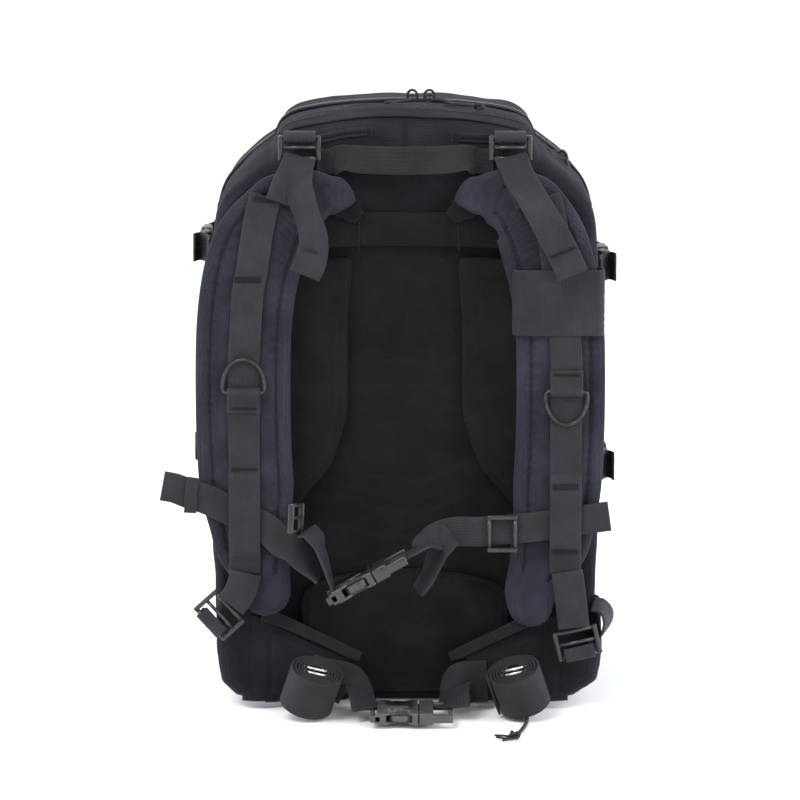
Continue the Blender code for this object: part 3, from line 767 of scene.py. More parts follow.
def channel_wrinkle(p):
    """Shallow sagging wrinkles between the pads."""
    moved = 0.0
    share = max(-1.0, min(1.0, p.x / 0.045))
    fade = max(0.0, 1 - share * share * 0.6)
    for left, middle, right, depth in CHANNEL_FOLDS:
        height = middle + ((right if share > 0 else left) - middle) * share * share
        waver = 0.002 * noise.noise(Vector((p.x / 0.02, 0, height * 50)))
        away = (p.z - height - waver) / 0.0042
        moved += depth * (0.6 * math.exp(-((away - 1) ** 2)) - math.exp(-(away**2))) * fade
    return moved


def top_height(y):
    """The rear half's top slopes down towards the back panel."""
    depth = max(0.0, min(1.0, (y - BACK_Y) / 0.038))
    return 0.45 + 0.0262 * math.sin(math.pi / 2 * depth) ** 0.85


def settled(p, move):
    """A moved point of the bag's cloth. The base stays flat on the floor."""
    if p.z < 0.02:
        move *= 0.2
    p = p + move
    p.z = max(p.z, 0.0)
    return p


def shape_rear(p, normal):
    lid, top = 0.4, 0.4762
    if p.z > lid:
        p.z = lid + (p.z - lid) * (top_height(p.y) - lid) / (top - lid)
    edge = min(1.0, (SEAM_Y - p.y) / 0.012)
    move = 0.0012 * soft_noise(p, (0.03, 0.03, 0.03), 3.1) * edge
    if p.z > lid:
        move += 0.0032 * soft_noise(p, (0.06, 0.014, 0.03), 7.7) * edge
    move += sum(crease(p, *fold) for fold in LID_FOLDS) * edge
    if p.y < BACK_Y + 0.002:
        if abs(p.x) < 0.095 and p.z < 0.36:
            move = channel_wrinkle(p) - 0.0006
        else:
            move = 0.0004 * soft_noise(p, (0.02, 1, 0.02))
    return settled(p, normal * move)


def shape_front(p, normal):
    edge = min(1.0, (p.y - FRONT_Y) / 0.012)
    move = 0.0018 * soft_noise(p, (0.04, 0.04, 0.04), 5.3) * edge
    move += 0.001 * soft_noise(p, (0.016, 0.03, 0.012), 9.1) * edge
    if p.y > FRONT_END_Y - 0.006:
        move = 0.001 * soft_noise(p, (0.05, 1.0, 0.035), 2.2) - 0.0012
    return settled(p, normal * move)


def edge_rings(start, finish, edge, count):
    """Rings from the seam to the start of the rounded edge, and then round it."""
    away = 1 if finish > start else -1
    run = finish - away * edge - start
    rings = [(start + run * k / count, 0.0) for k in range(count + 1)]
    for k in range(1, 6):
        turn = math.pi / 2 * k / 5
        rings.append((finish - away * edge * (1 - math.sin(turn)), edge * (1 - math.cos(turn))))
    return rings


def add_bag():
    back = BACK_Y + 0.0006
    rear = bag_half("bag_rear", edge_rings(SEAM_Y, back, 0.009, 22), back,
                    ["pack_fabric", "back_fabric", "lining"], "pack", ("rear_shell",), shape_rear)
    for face in rear.data.polygons:
        middle = face.center
        if middle.y < BACK_Y + 0.004 and middle.z < 0.397 and abs(middle.x) < 0.142:
            face.material_index = 1
    bag_half("bag_front", edge_rings(FRONT_Y, FRONT_END_Y, 0.022, 16), FRONT_END_Y,
             ["pack_fabric", "lining"], "front", ("front_shell",), shape_front)
    return rear


# Padded pieces


def blow_up(piece, cap):
    """Lets air into a closed soft shape, and keeps each point within a cap of where it was."""
    frames = 20
    before = [v.co.copy() for v in piece.data.vertices]
    cloth = piece.modifiers.new("cloth", "CLOTH")
    cloth.settings.quality = 4
    cloth.settings.mass = 0.3
    cloth.settings.use_pressure = True
    cloth.settings.uniform_pressure_force = 4.0
    cloth.settings.effector_weights.gravity = 0
    scene = bpy.context.scene
    for number in range(1, frames + 1):
        scene.frame_set(number)
    after = piece.evaluated_get(bpy.context.evaluated_depsgraph_get()).data.vertices
    moved = [v.co.copy() for v in after]
    piece.modifiers.remove(cloth)
    scene.frame_set(1)
    for vert, start, end in zip(piece.data.vertices, before, moved):
        step = end - start
        if step.length > cap:
            step *= cap / step.length
        vert.co = start + step


def modified(mesh, kind, **settings):
    """What a mesh becomes through one modifier, as a new mesh."""
    helper = add_object("helper", mesh)
    modifier = helper.modifiers.new("helper", kind)
    for key, value in settings.items():
        setattr(modifier, key, value)
    made = bpy.data.meshes.new_from_object(helper.evaluated_get(bpy.context.evaluated_depsgraph_get()))
    bpy.data.objects.remove(helper)
    return made


def plate_mesh(name, outline, low_out, high_out, voxel):
    """A flat outline with thickness, in small even quads."""
    shape = bmesh.new()
    near = [shape.verts.new(at(x, low_out, z)) for x, z in outline]
    far = [shape.verts.new(at(x, high_out, z)) for x, z in outline]
    shape.faces.new(near)
    shape.faces.new(far[::-1])
    for i in range(len(outline)):
        j = (i + 1) % len(outline)
        shape.faces.new((near[i], near[j], far[j], far[i]))
    bmesh.ops.recalc_face_normals(shape, faces=shape.faces)
    return modified(mesh_of(name, shape), "REMESH", mode="VOXEL", voxel_size=voxel)


def edge_distance(x, z, outline):
    best = 1.0
    for (ax, az), (bx, bz) in zip(outline, outline[1:] + outline[:1]):
        dx, dz = bx - ax, bz - az
        share = max(0.0, min(1.0, ((x - ax) * dx + (z - az) * dz) / (dx * dx + dz * dz)))
        best = min(best, math.hypot(x - ax - dx * share, z - az - dz * share))
    return best


def add_pad(name, outline, body, look, nodes, low_out, high_out, shaped=None, fill=0.6, cap=0.004, roll=0.01):
    """A foam pad under cloth: crowned, pulled in at its edge, and flat behind."""
    depth = high_out - low_out
    blank = depth * 0.62
    piece = finish_piece(name, plate_mesh(name, outline, low_out, low_out + blank, 0.0034), look, body, nodes)
    blow_up(piece, cap)
    rounded = modified(piece.data, "SUBSURF", levels=1)
    piece.data = rounded
    for vert in rounded.vertices:
        out = BACK_Y - vert.co.y
        share = (out - low_out) / blank
        crown = 1 - math.exp(-edge_distance(vert.co.x, vert.co.z, outline) / roll)
        if share > 0.25:
            full = min(1.0, share)
            out = low_out + depth * (0.52 + 0.48 * crown) * full
            out += 0.0007 * soft_noise(vert.co, (0.022, 1.0, 0.022), 1.9) * crown
            if shaped:
                out += shaped(vert.co) * full
        vert.co.y = BACK_Y - min(max(out, low_out), high_out + 0.0015)
    rounded.polygons.foreach_set("use_smooth", [True] * len(rounded.polygons))


def filleted(corners, radii, steps=5):
    """The polygon again, with an arc at each corner."""
    points = []
    for i, corner in enumerate(corners):
        here = Vector(corner)
        before = (Vector(corners[i - 1]) - here).normalized()
        after = (Vector(corners[(i + 1) % len(corners)]) - here).normalized()
        half = before.angle(after) / 2
        reach = radii[i] / math.tan(half)
        centre = here + (before + after).normalized() * (radii[i] / math.sin(half))
        start = here + before * reach - centre
        turn = start.angle_signed(here + after * reach - centre)
        for k in range(steps + 1):
            arm = start.copy()
            arm.rotate(Matrix.Rotation(-turn * k / steps, 2))
            points.append(tuple(centre + arm))
    return points


def groove(distance, width, depth):
    return -depth * math.exp(-((distance / width) ** 2))


def mirrored(corners, radii, sign):
    """An outline for one side, from the corners and fillets of the right one."""
    return filleted([(sign * x, z) for x, z in corners][::sign], radii[::sign])


def half_ellipse(half, height, turns):
    """The upper half of an ellipse, from its right end to its left end."""
    angles = [math.pi * k / turns for k in range(turns + 1)]
    return [(half * math.cos(angle), height * math.sin(angle)) for angle in angles]


def add_back_pads():
    side_pad = [(0.139, 0.097), (0.139, 0.3655), (0.041, 0.3655), (0.041, 0.24), (0.054, 0.195),
                (0.088, 0.155), (0.1, 0.097)]
    radii = [0.01, 0.006, 0.006, 0.04, 0.06, 0.03, 0.008]
    near = 0.0002
    for side, sign in SIDES.items():
        outline = mirrored(side_pad, radii, sign)
        add_pad(f"back_pad_{side}", outline, "pack", "back_fabric", (f"pad_{side}",), near, 0.012)
    upper = filleted([(-0.125, 0.368), (0.125, 0.368), (0.12, 0.404), (-0.12, 0.404)], [0.005] * 4)

    def yoke_seam(p):
        return groove(p.z - 0.3995, SEAM_WIDTH, 0.003) + 0.0006 * soft_noise(p, (0.008, 1, 0.02), 4.0)

    add_pad("back_pad_upper", upper, "pack", "back_fabric", ("pad_upper",), near, 0.011, yoke_seam,
            roll=0.006)
    seams = []
    for x in (-0.0365, 0.0425):
        path = [at(x, 0.0113, 0.37 + 0.0028 * k) for k in range(11)]
        seams += stitch_line(path, [OUTWARDS] * len(path))
    thread_piece("back_pad_upper_seams", seams, "pack", 0.0004)
    half, low, height = 0.085, 0.086, 0.028
    dome = [(x, low + z) for x, z in half_ellipse(half, height, 24)]
    lumbar = [(-half, 0.005), (half, 0.005), *dome]

    def dome_seam(p):
        return groove(edge_distance(p.x, p.z, lumbar) - 0.006, SEAM_WIDTH, 0.0014)

    add_pad("back_pad_lumbar", lumbar, "pack", "back_fabric", ("pad_lumbar",), near, 0.0115, dome_seam)


# Shoulder straps


def strap_route(side):
    """Points down the middle of a strap, and its width at each of them."""
    sign = SIDES[side]
    sizes = {"left": (0.112, 0.079, 0.0, 0.075), "right": (0.101, 0.07, -0.005, 0.07)}
    lobe_x, lobe_z, shift, wide = sizes[side]
    route = [
        (0.04, 0.018, 0.411, 0.016), (0.056, 0.0222, 0.415, 0.03), (0.074, 0.0245, 0.413, 0.045),
        (0.096, 0.0275, 0.401, 0.064), (0.116 + shift, 0.0345, 0.371, wide),
        (0.126 + shift, STRAP_OUT, 0.322, wide), (0.128 + shift, STRAP_OUT, 0.25, wide),
        (0.126 + shift, STRAP_OUT, 0.19, wide), (0.121 + shift, STRAP_OUT, 0.144, 0.064),
        (lobe_x, STRAP_OUT, 0.104, 0.042), (lobe_x, STRAP_OUT, lobe_z + 0.001, 0.03),
    ]
    return [at(sign * x, out, z) for x, out, z, _ in route], [width for *_, width in route]


def strap_row(side, place, side_way, up, half, thick, run, padded):
    """One closed row of points round a strap. half and thick are half its width and thickness there."""
    count, seed = 96, {"left": 3.0, "right": 8.0}[side]
    square_x, square_z = 0.62, 0.55  # powers below 1 square the section's corners
    row = []
    for k in range(count):
        angle = 2 * math.pi * k / count
        c, s = math.cos(angle), math.sin(angle)
        u = math.copysign(abs(c) ** square_x, c)
        v = math.copysign(abs(s) ** square_z, s)
        x = u * half
        inner = half - abs(x)
        lift = v * thick * (0.9 + 0.1 * math.exp(-(((inner - 0.0055) / 0.005) ** 2)))
        if padded:
            lift += math.copysign(1, v) * groove(inner - STRAP_SEAM, 0.0013, 0.0026)
            pucker = noise.noise(Vector((run / 0.0048, math.copysign(2, u), seed)))
            lift += v * 0.0016 * pucker * math.exp(-(((inner - STRAP_SEAM) / 0.0055) ** 2))
        lift += v * 0.0007 * noise.noise(Vector((run / 0.022, u * 1.8, 5.0)))
        row.append(place + side_way * x + up * lift)
    return row


def add_strap(side):
    """A padded strap: a rolled edge, a sewn seam inside it, and cloth that puckers between the seams."""
    points, widths = strap_route(side)
    spacing, end = 0.0015, 0.012
    path = smooth_path(points, spacing)
    along = distances(path)
    total = along[-1]
    rows, seams = [], {-1: [], 1: []}
    for place, ahead, span, run in zip(path, tangents(path), matched(widths, points, spacing), along):
        side_way = ahead.cross(OUTWARDS).normalized()
        up = side_way.cross(ahead).normalized()
        closing = min(1.0, run / end, (total - run) / end)
        cap = math.sqrt(max(0.02, 1 - (1 - closing) ** 2))
        half, thick = span / 2 * cap, STRAP_THICK / 2 * (0.35 + 0.65 * cap)
        padded = span > 0.045
        rows.append(strap_row(side, place, side_way, up, half, thick, run, padded))
        if padded and 0.06 < run < total - 0.03:
            for sign, seam in seams.items():
                on_skin = place + up * (thick * 0.93 - 0.0014)
                seam.append((on_skin + side_way * sign * (half - STRAP_SEAM), up))
    body = f"{side}_strap"
    piece = skin_piece(f"shoulder_{side}", rows, "strap_fabric", body, (f"strap_{side}",))
    lines = []
    for seam in seams.values():
        lines += stitch_line(*zip(*seam))
    thread_piece(f"shoulder_seams_{side}", lines, body, 0.0003)


def daisy_height(z):
    """How far out the webbing down a strap runs: slack low down, and lower where the strap's top is thin."""
    if 0.132 < z < 0.197:
        return SKIN_OUT + 0.006
    thinner = 0.0045 * max(0.0, min(1.0, (z - 0.34) / 0.046)) ** 1.5
    return SKIN_OUT + 0.0016 - thinner - 0.0055 * max(0.0, (z - 0.386) / 0.03)


def add_daisy_chain(side):
    """Webbing sewn down a strap at intervals, with slack between the rows of stitches."""
    sign = SIDES[side]
    body = f"{side}_strap"
    route = [(0.109, 0.416), (0.1125, 0.404), (0.116, 0.386), (0.1195, 0.362), (0.1235, 0.338),
             (0.1255, 0.31), (0.1268, 0.286)]
    route += [(0.127, z) for z in (0.262, 0.24, 0.217, 0.2, 0.192, 0.165, 0.137, 0.126)] + [(0.1275, 0.116)]
    tacks = {"left": (0.41183, 0.34991, 0.2565, 0.19762), "right": (0.2697, 0.18544, 0.13265)}[side]
    points = [at(sign * x, daisy_height(z), z) for x, z in route]
    web_piece(f"daisy_webbing_{side}", points, WEBBING, body, (f"daisy_{side}",), spacing=0.002,
              ripple=0.0005, seed=sign * 3.0)
    lines = []
    for z in tacks:
        x = min(route, key=lambda place: abs(place[1] - z))[0]
        for height in (z, z + 0.0028):
            lines.append(bartack(at(sign * x, daisy_height(z) + 0.0012, height)))
    thread_piece(f"daisy_tacks_{side}", lines, body, 0.0004)


def add_d_ring(side):
    """A D-ring and the webbing that holds its bar. The left ring stands up and the right one hangs."""
    up = 1 if side == "left" else -1
    half, out, bar_z, x = 0.0165, 0.0494, 0.2626, SIDES[side] * 0.127
    start = [(half - 0.002, -0.0002), (half - 0.0005, 0.001)]
    arc = [(px, 0.004 + pz) for px, pz in half_ellipse(half, 0.022, 28)]
    loop = [*start, *arc, *[(-px, pz) for px, pz in start[::-1]]]
    points = [at(x + px, out, bar_z + up * pz) for px, pz in loop]
    ring_piece(f"ring_{side}", points, 0.0016, 14, "ring_metal", f"{side}_ring", (f"d_ring_{side}",))
    base = SKIN_OUT + 0.0034
    route = [
        (x, base, bar_z - up * 0.017), (x, base + 0.001, bar_z - up * 0.009),
        (x, out + 0.003, bar_z - up * 0.002), (x, out + 0.003, bar_z + up * 0.0012, (0, -1, up * 0.6)),
        (x, out + 0.0006, bar_z + up * 0.003, (0, -0.3, up)),
    ]
    body = f"{side}_strap"
    laid_webbing(f"ring_loop_{side}", route, WEBBING + 0.001, body, thick=0.0018, spacing=0.0015)
    thread_piece(f"ring_tack_{side}", [bartack(at(x, base + 0.0013, bar_z - up * 0.0135))], body, 0.0004)


def add_sleeve():
    """The elastic band round the right strap."""
    z, height, steps = 0.333, 0.052, 26
    x, half, radius, crown = 0.1205, 0.0358, 0.006, 0.012
    front, back = SKIN_OUT + 0.0034, STRAP_OUT - STRAP_THICK / 2 - 0.0012
    corners = [(x - half, back), (x + half, back), (x + half, front - 0.001), (x + crown, front + 0.0006),
               (x - crown, front + 0.0006), (x - half, front - 0.001)]
    ring = filleted(corners, [radius, radius, radius, 0.02, 0.02, radius], 7)
    along = distances([Vector(p) for p in ring])
    rows = []
    heights = [z - height / 2 + height * k / steps for k in range(steps + 1)]
    for face, inset in ((1, 0.0), (-1, 0.0012)):
        for level in heights[::face]:
            edge = min(1.0, (0.0262 - abs(level - z)) / 0.002)
            row = []
            for px, out in ring:
                away = Vector((px - x, out - (front + back) / 2)).normalized()
                wave = 0.0004 * noise.noise(Vector((level / 0.003, px / 0.05, 1.0))) * face
                depth = 0.0005 * edge - inset + max(wave, -0.0003)
                row.append(at(px + away.x * depth, out + away.y * depth, level))
            rows.append(row)
    rows.append(rows[0])
    shape = bmesh.new()
    skin(shape, rows, along, [0.002 * k for k in range(len(rows))], ends=False)
    bmesh.ops.remove_doubles(shape, verts=shape.verts, dist=1e-7)
    finish_mesh("strap_band", shape, "elastic", "right_strap", ("strap_sleeve",))


# Routes of webbing in front of the back panel: x, out, z and the way that it faces there, if not outwards

LIFTER_STRANDS = {
    "left": [
        (-0.083, 0.0165, 0.445, (0, -1, 0.2)), (-0.0865, 0.027, 0.435, (0.1, -1, 0.3)),
        (-0.093, 0.038, 0.423, (0.45, -1, 0.3)), (-0.0975, 0.04, 0.411, (0.5, -1, 0.2)),
    ],
    "right": [
        (0.083, 0.0165, 0.445, (0, -1, 0.2)), (0.0865, 0.027, 0.435, (-0.1, -1, 0.3)),
        (0.093, 0.037, 0.424, (-0.2, -1, 0.3)), (0.0985, 0.04, 0.411, (-0.2, -1, 0.2)),
    ],
}
LIFTER_TAILS = {
    "left": [
        (-0.083, 0.0195, 0.444, (0, -1, 0.3)), (-0.084, 0.033, 0.433, (-0.25, -1, 0.3)),
        (-0.082, 0.045, 0.42, (-0.6, -1, 0.2)), (-0.0765, 0.05, 0.403, (-0.75, -1, 0)),
        (-0.0715, 0.0525, 0.385, (-0.45, -1, 0)), (-0.0735, 0.054, 0.368, (-0.1, -1, 0)),
        (-0.0785, 0.0545, 0.356, (0.1, -1, 0)),
    ],
    "right": [
        (0.084, 0.0195, 0.444, (0, -1, 0.3)), (0.089, 0.034, 0.432, (0.2, -1, 0.3)),
        (0.098, 0.045, 0.418, (0.3, -1, 0.3)), (0.108, 0.0505, 0.401, (0.2, -1, 0.2)),
        (0.1165, 0.0535, 0.386, (0.1, -1, 0)), (0.1245, 0.055, 0.371), (0.131, 0.0555, 0.356),
    ],
}
FOOT_ROUTES = {
    "left": [
        (-0.1262, 0.049, 0.117), (-0.1285, 0.0492, 0.108), (-0.1325, 0.049, 0.0985), (-0.1385, 0.047, 0.0905),
    ],
    "right": [
        (0.1285, 0.049, 0.118), (0.1305, 0.0492, 0.104), (0.1325, 0.049, 0.088), (0.1345, 0.047, 0.072),
    ],
}
FOOT_CURL = [
    (0.15, 0.025, 0.056, (0.6, -0.2, -0.6)), (0.159, 0.03, 0.064, (1, -0.3, -0.3)),
    (0.1625, 0.033, 0.076, (1, -0.4, 0.2)), (0.158, 0.034, 0.086, (0.4, -0.3, 1)),
    (0.15, 0.033, 0.088, (0, -0.2, 1)),
]
# The chest strap's routes are given in front of the straps' outer face
CHEST_LEFT = [
    (-0.192, 0, 0.187), (-0.182, 0, 0.185), (-0.172, 0, 0.181, (0.05, -1, 0)), (-0.16, 0, 0.177),
    (-0.148, 0, 0.172), (-0.136, 0, 0.166), (-0.112, 0, 0.154, (0, -1, 0.05)),
    (-0.098, 0.006, 0.143, (0.15, -1, 0.15)), (-0.084, 0.016, 0.134, (0.5, -0.7, 0.5)),
    (-0.068, 0.02, 0.114, (0.88, -0.1, 0.48)),
]
CHEST_FOLD = [
    (-0.078, 0.012, 0.153, (0.5, -0.6, 0.6)), (-0.072, 0.016, 0.15, (0.7, -0.5, 0.5)),
    (-0.066, 0.02, 0.138, (0.9, -0.2, 0.4)), (-0.06, 0.022, 0.12, (0.9, -0.1, 0.4)),
    (-0.055, 0.021, 0.104, (0.88, 0, 0.48)),
]
CHEST_KEEPER = [(-0.17, 0.002, 0.1655), (-0.169, 0.0024, 0.182), (-0.1672, 0.002, 0.194)]
CHEST_RIGHT = [
    (0.018, 0.012, 0.1435, (-0.35, -0.7, 0.5)), (0.03, 0.003, 0.148, (-0.15, -1, 0.15)), (0.042, 0, 0.15),
    (0.06, 0, 0.15), (0.1, 0, 0.1535), (0.13, 0, 0.158), (0.162, 0, 0.1625),
]
CHEST_TAIL = [
    (0.0365, 0.005, 0.149, (-0.3, -1, 0.2)), (0.0325, 0.0076, 0.146, (-0.5, -0.9, 0.3)),
    (0.025, 0.0095, 0.133, (-0.8, -0.6, 0.2)), (0.018, 0.0105, 0.116, (-0.9, -0.45, 0.3)),
    (0.01, 0.011, 0.104, (-0.9, -0.35, 0.4)),
]
HIP_ROUTES = {
    "left": [
        (-0.066, 0.0305, 0.026, (0.05, -1, 0.05)), (-0.052, 0.033, 0.024, (0.3, -1, 0.1)),
        (-0.04, 0.041, 0.021, (0.7, -0.8, 0.3)), (-0.033, 0.055, 0.016, (0.7, -0.4, 0.7)),
        (-0.027, 0.066, 0.01, (0.2, -0.2, 1)),
    ],
    "right": [
        (0.035, 0.064, 0.011, (-0.2, -0.2, 1)), (0.0378, 0.052, 0.015, (-0.7, -0.4, 0.7)),
        (0.041, 0.039, 0.02, (-0.7, -0.8, 0.3)), (0.048, 0.031, 0.023, (-0.3, -1, 0.1)),
        (0.066, 0.03, 0.024, (-0.05, -1, 0.05)),
    ],
}


# Locks and buckles


def standing(middle, y_turn=0.0, z_turn=0.0):
    """Local X across, local Y up and local Z out, then turned."""
    place = Matrix.Translation(middle)
    for turn, axis in ((z_turn, "Z"), (y_turn, "Y"), (90, "X")):
        place = place @ Matrix.Rotation(math.radians(turn), 4, axis)
    return place


def ladder_lock(name, node, place, width, height, body, middle_bar=True):
    """A moulded frame with two side rails and round bars across it."""
    shape = bmesh.new()
    rail = 0.0036
    for sign in (-1, 1):
        x = sign * (width / 2 - rail / 2)
        block(shape, (x - rail / 2, -height / 2, -0.0024), (x + rail / 2, height / 2, 0.0026), 0.0012, 3)
    bar_y = height / 2 - 0.0018
    bars = [(bar_y, 0.0017), (-bar_y, 0.0017)]
    if middle_bar:
        bars.append((0.0006, 0.0015))
    end = width / 2 - 0.001
    for y, radius in bars:
        rod(shape, [(-end, y, 0), (0, y, 0.0002), (end, y, 0)], radius, 12)
    bmesh.ops.transform(shape, matrix=place, verts=shape.verts)
    finish_mesh(name, shape, "lock_plastic", body, (node,))


def window(end):
    """Where a buckle's side windows start and end."""
    return end * 0.42, end * 0.8


def buckle_rail(shape, start, end, y, deep):
    """One of the two rails that hold the bar for the webbing."""
    block(shape, (start, y - BUCKLE_RAIL, -deep), (end, y + BUCKLE_RAIL, deep), 0.001, 3)


def buckle_socket(length, width, thick):
    """Two thin plates with windows at the sides, closed between them at both ends."""
    shape = bmesh.new()
    end, half, deep = length * SOCKET_SHARE, width / 2, thick / 2
    notch = min(0.0045, half * 0.3)
    first, last = window(end)
    lower = [(0.006, -half + 0.001), (first - 0.002, -half), (first + 0.001, -half + notch),
             (last - 0.001, -half + notch), (last + 0.002, -half), (end, -half)]
    plate = lower + [(x, -y) for x, y in lower[::-1]]
    slab(shape, plate, deep - BUCKLE_PLATE, deep, 0.0006)
    slab(shape, plate, -deep, -deep + BUCKLE_PLATE, 0.0006)
    wall = 0.0016
    for sign in (-1, 1):
        edge = sign * (half - wall / 2)
        for low, high in ((0.004, first - 0.003), (last + 0.003, end - 0.0002)):
            inner = deep - 0.0008
            block(shape, (low, edge - wall / 2, -inner), (high, edge + wall / 2, inner), 0.0005)
        buckle_rail(shape, 0.0, 0.009, sign * (half - BUCKLE_RAIL), thick * 0.3)
    block(shape, (0.006, -half + 0.002, -deep + 0.001), (0.0085, half - 0.002, deep - 0.001), 0.0005)
    rod(shape, [(0.0022, -half + 0.002, 0), (0.0022, half - 0.002, 0)], thick * 0.19, 12)
    block(shape, (first, -0.0022, deep - 0.0006), (last, 0.0022, deep + 0.0004), 0.0004)
    return shape


def buckle_plug(length, width, thick):
    """A head with a bar for webbing, a tongue, and the two arms that show in the socket's windows."""
    shape = bmesh.new()
    end, half, deep = length * SOCKET_SHARE, width / 2, thick / 2
    first, last = window(end)
    start = end + 0.0008
    base = start + (length - start) * 0.42
    block(shape, (start, -half, -deep), (base, half, deep), 0.0012, 3)
    for sign in (-1, 1):
        buckle_rail(shape, base - 0.002, length, sign * (half - BUCKLE_RAIL), thick * 0.34)
        arm = [(start + 0.001, 0.007), (start + 0.001, 0.003), (last, 0.003), (last - 0.002, 0.0006),
               (first + 0.003, 0.0014), (first - 0.001, 0.005), (first + 0.001, 0.0072),
               (last - 0.002, 0.0062)]
        arm = [(x, sign * (half - inset)) for x, inset in arm][::sign]
        slab(shape, arm, -deep + BUCKLE_PLATE + 0.0006, deep - BUCKLE_PLATE - 0.0006, 0.0006)
    bar = length - 0.002
    rod(shape, [(bar, -half + 0.002, 0), (bar, half - 0.002, 0)], thick * 0.19, 12)
    block(shape, (first + 0.004, -0.0026, -thick * 0.16), (start + 0.001, 0.0026, thick * 0.16), 0.0008)
    return shape


def side_release(names, nodes, place, length, width, thick, bodies, look):
    """A side-release buckle: its socket and its plug."""
    for name, node, body, build in zip(names, nodes, bodies, (buckle_socket, buckle_plug)):
        shape = build(length, width, thick)
        bmesh.ops.transform(shape, matrix=place, verts=shape.verts)
        finish_mesh(name, shape, look, body, (node,))


def web_bent(name, route, nodes=()):
    """Webbing along a route, baked where it lies and given to no body."""
    points, faces = split_route(route)
    shape = bmesh.new()
    web(shape, points, WEBBING, spacing=0.002, faces=faces)
    piece = finish_mesh(name, shape, "webbing", None, nodes)
    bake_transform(piece)
    return points


def add_lifter(side):
    """The load lifter: its loop on the bag, its lock, the strand to the strap and the free end."""
    x = SIDES[side] * 0.083
    ladder_lock(f"lifter_buckle_{side}", f"lifter_lock_{side}", standing(at(x, 0.0145, 0.4515)), 0.034, 0.02,
                f"{side}_lifter_lock")
    loop = [
        (x, -0.008, 0.462, (0, -0.1, 1)), (x, 0.004, 0.4625, (0, -0.1, 1)), (x, 0.0155, 0.4634, (0, -0.5, 1)),
        (x, 0.0177, 0.4604), (x, 0.0157, 0.4572, (0, -0.5, -1)), (x, 0.0085, 0.456, (0, 0, -1)),
        (x, 0.001, 0.452, (0, 0, -1)),
    ]
    laid_webbing(f"lifter_loop_{side}", loop, WEBBING, "pack", spacing=0.0015)
    bodies = ("pack", f"{side}_strap")
    web_bent(f"lifter_strand_{side}", LIFTER_STRANDS[side])
    points = web_bent(f"lifter_tail_{side}", LIFTER_TAILS[side], (f"lifter_{side}",))
    ahead = (points[-2] - points[-1]).normalized()
    across = ahead.cross(OUTWARDS).normalized()
    middle = points[-1] + ahead * 0.02 + OUTWARDS * 0.0012
    thread_piece(f"lifter_tack_{side}", [bartack(middle, across, ahead)], bodies[1], 0.0004)


def add_lower_lock(side):
    """The lock at a strap's foot, the webbing from the strap, and the tab from the bag's lower corner."""
    sign = SIDES[side]
    middle, turn = {"left": (at(-0.1465, 0.043, 0.0825), 48), "right": (at(0.137, 0.043, 0.0605), -13)}[side]
    down = standing(middle, y_turn=turn).to_3x3() @ Vector((0, -1, 0))
    middle = middle + down * 0.0018
    ladder_lock(f"lower_buckle_{side}", f"lower_lock_{side}", standing(middle, y_turn=turn), 0.036, 0.024,
                f"{side}_lower_lock")
    laid_webbing(f"foot_webbing_{side}", FOOT_ROUTES[side], WEBBING, f"{side}_strap", (f"tail_{side}",))
    bar = middle + down * 0.0102
    inwards = -OUTWARDS
    tab = [
        (bar - down * 0.0075 - inwards * 0.002, OUTWARDS), (bar - inwards * 0.0031, OUTWARDS),
        (bar + down * 0.0032, down), (bar + inwards * 0.0032 + down * 0.001, down + inwards * 0.4),
        (bar - down * 0.001 + inwards * 0.01, down),
        (bar + down * 0.004 + inwards * 0.026 - ACROSS * sign * 0.004, down),
        (bar + down * 0.01 + inwards * 0.04 - ACROSS * sign * 0.01, down),
    ]
    points, faces = zip(*tab)
    web_piece(f"foot_tab_{side}", points, WEBBING - 0.001, "pack", (f"lower_anchor_{side}",), faces=faces,
              spacing=0.0018)
    if side == "right":
        laid_webbing("foot_tail_right", FOOT_CURL, WEBBING, "pack", spacing=0.002)


def add_sternum_strap():
    """The chest strap: webbing on both straps, its keeper, two ladder locks, the buckle and the free ends."""
    base, socket, plug = SKIN_OUT + 0.002, "left_strap", "chest_plug"
    laid_webbing("chest_webbing_left", CHEST_LEFT, 0.024, socket, ("sternum_web_left",), base=base,
                 spacing=0.002, ripple=0.0004)
    laid_webbing("chest_fold_left", CHEST_FOLD, 0.023, socket, base=base, spacing=0.002)
    laid_webbing("chest_tail_right", CHEST_TAIL, 0.023, plug, base=base, spacing=0.002)
    laid_webbing("chest_keeper_left", CHEST_KEEPER, 0.01, socket, base=base, thick=0.0018, spacing=0.002)
    left_lock = standing(at(-0.086, base + 0.0114, 0.163), y_turn=10, z_turn=74)
    ladder_lock("chest_lock_left", "sternum_lock_left", left_lock, 0.03, 0.024, socket)
    right_lock = standing(at(0.077, base + 0.0038, 0.149), y_turn=90)
    ladder_lock("chest_lock_right", "sternum_lock_right", right_lock, 0.03, 0.024, "right_strap",
                middle_bar=False)
    start = at(-0.061, base + 0.0194, 0.1)
    turn = Matrix.Rotation(math.radians(-29), 4, "Y")
    side_release(("chest_socket", "chest_plug_half"), ("sternum_socket", "sternum_plug"),
                 Matrix.Translation(start) @ turn, 0.071, 0.031, 0.011, (socket, plug), "buckle_plastic")
    along = turn.to_3x3() @ ACROSS
    points, faces = split_route(CHEST_RIGHT, base)
    near = start + along * 0.07
    points = [near, near + along * 0.012, *points]
    faces = [(-0.48, 0, 0.88)] * 2 + faces
    web_piece("chest_webbing_right", points, 0.024, plug, ("sternum_web_right",), faces=faces, spacing=0.002)


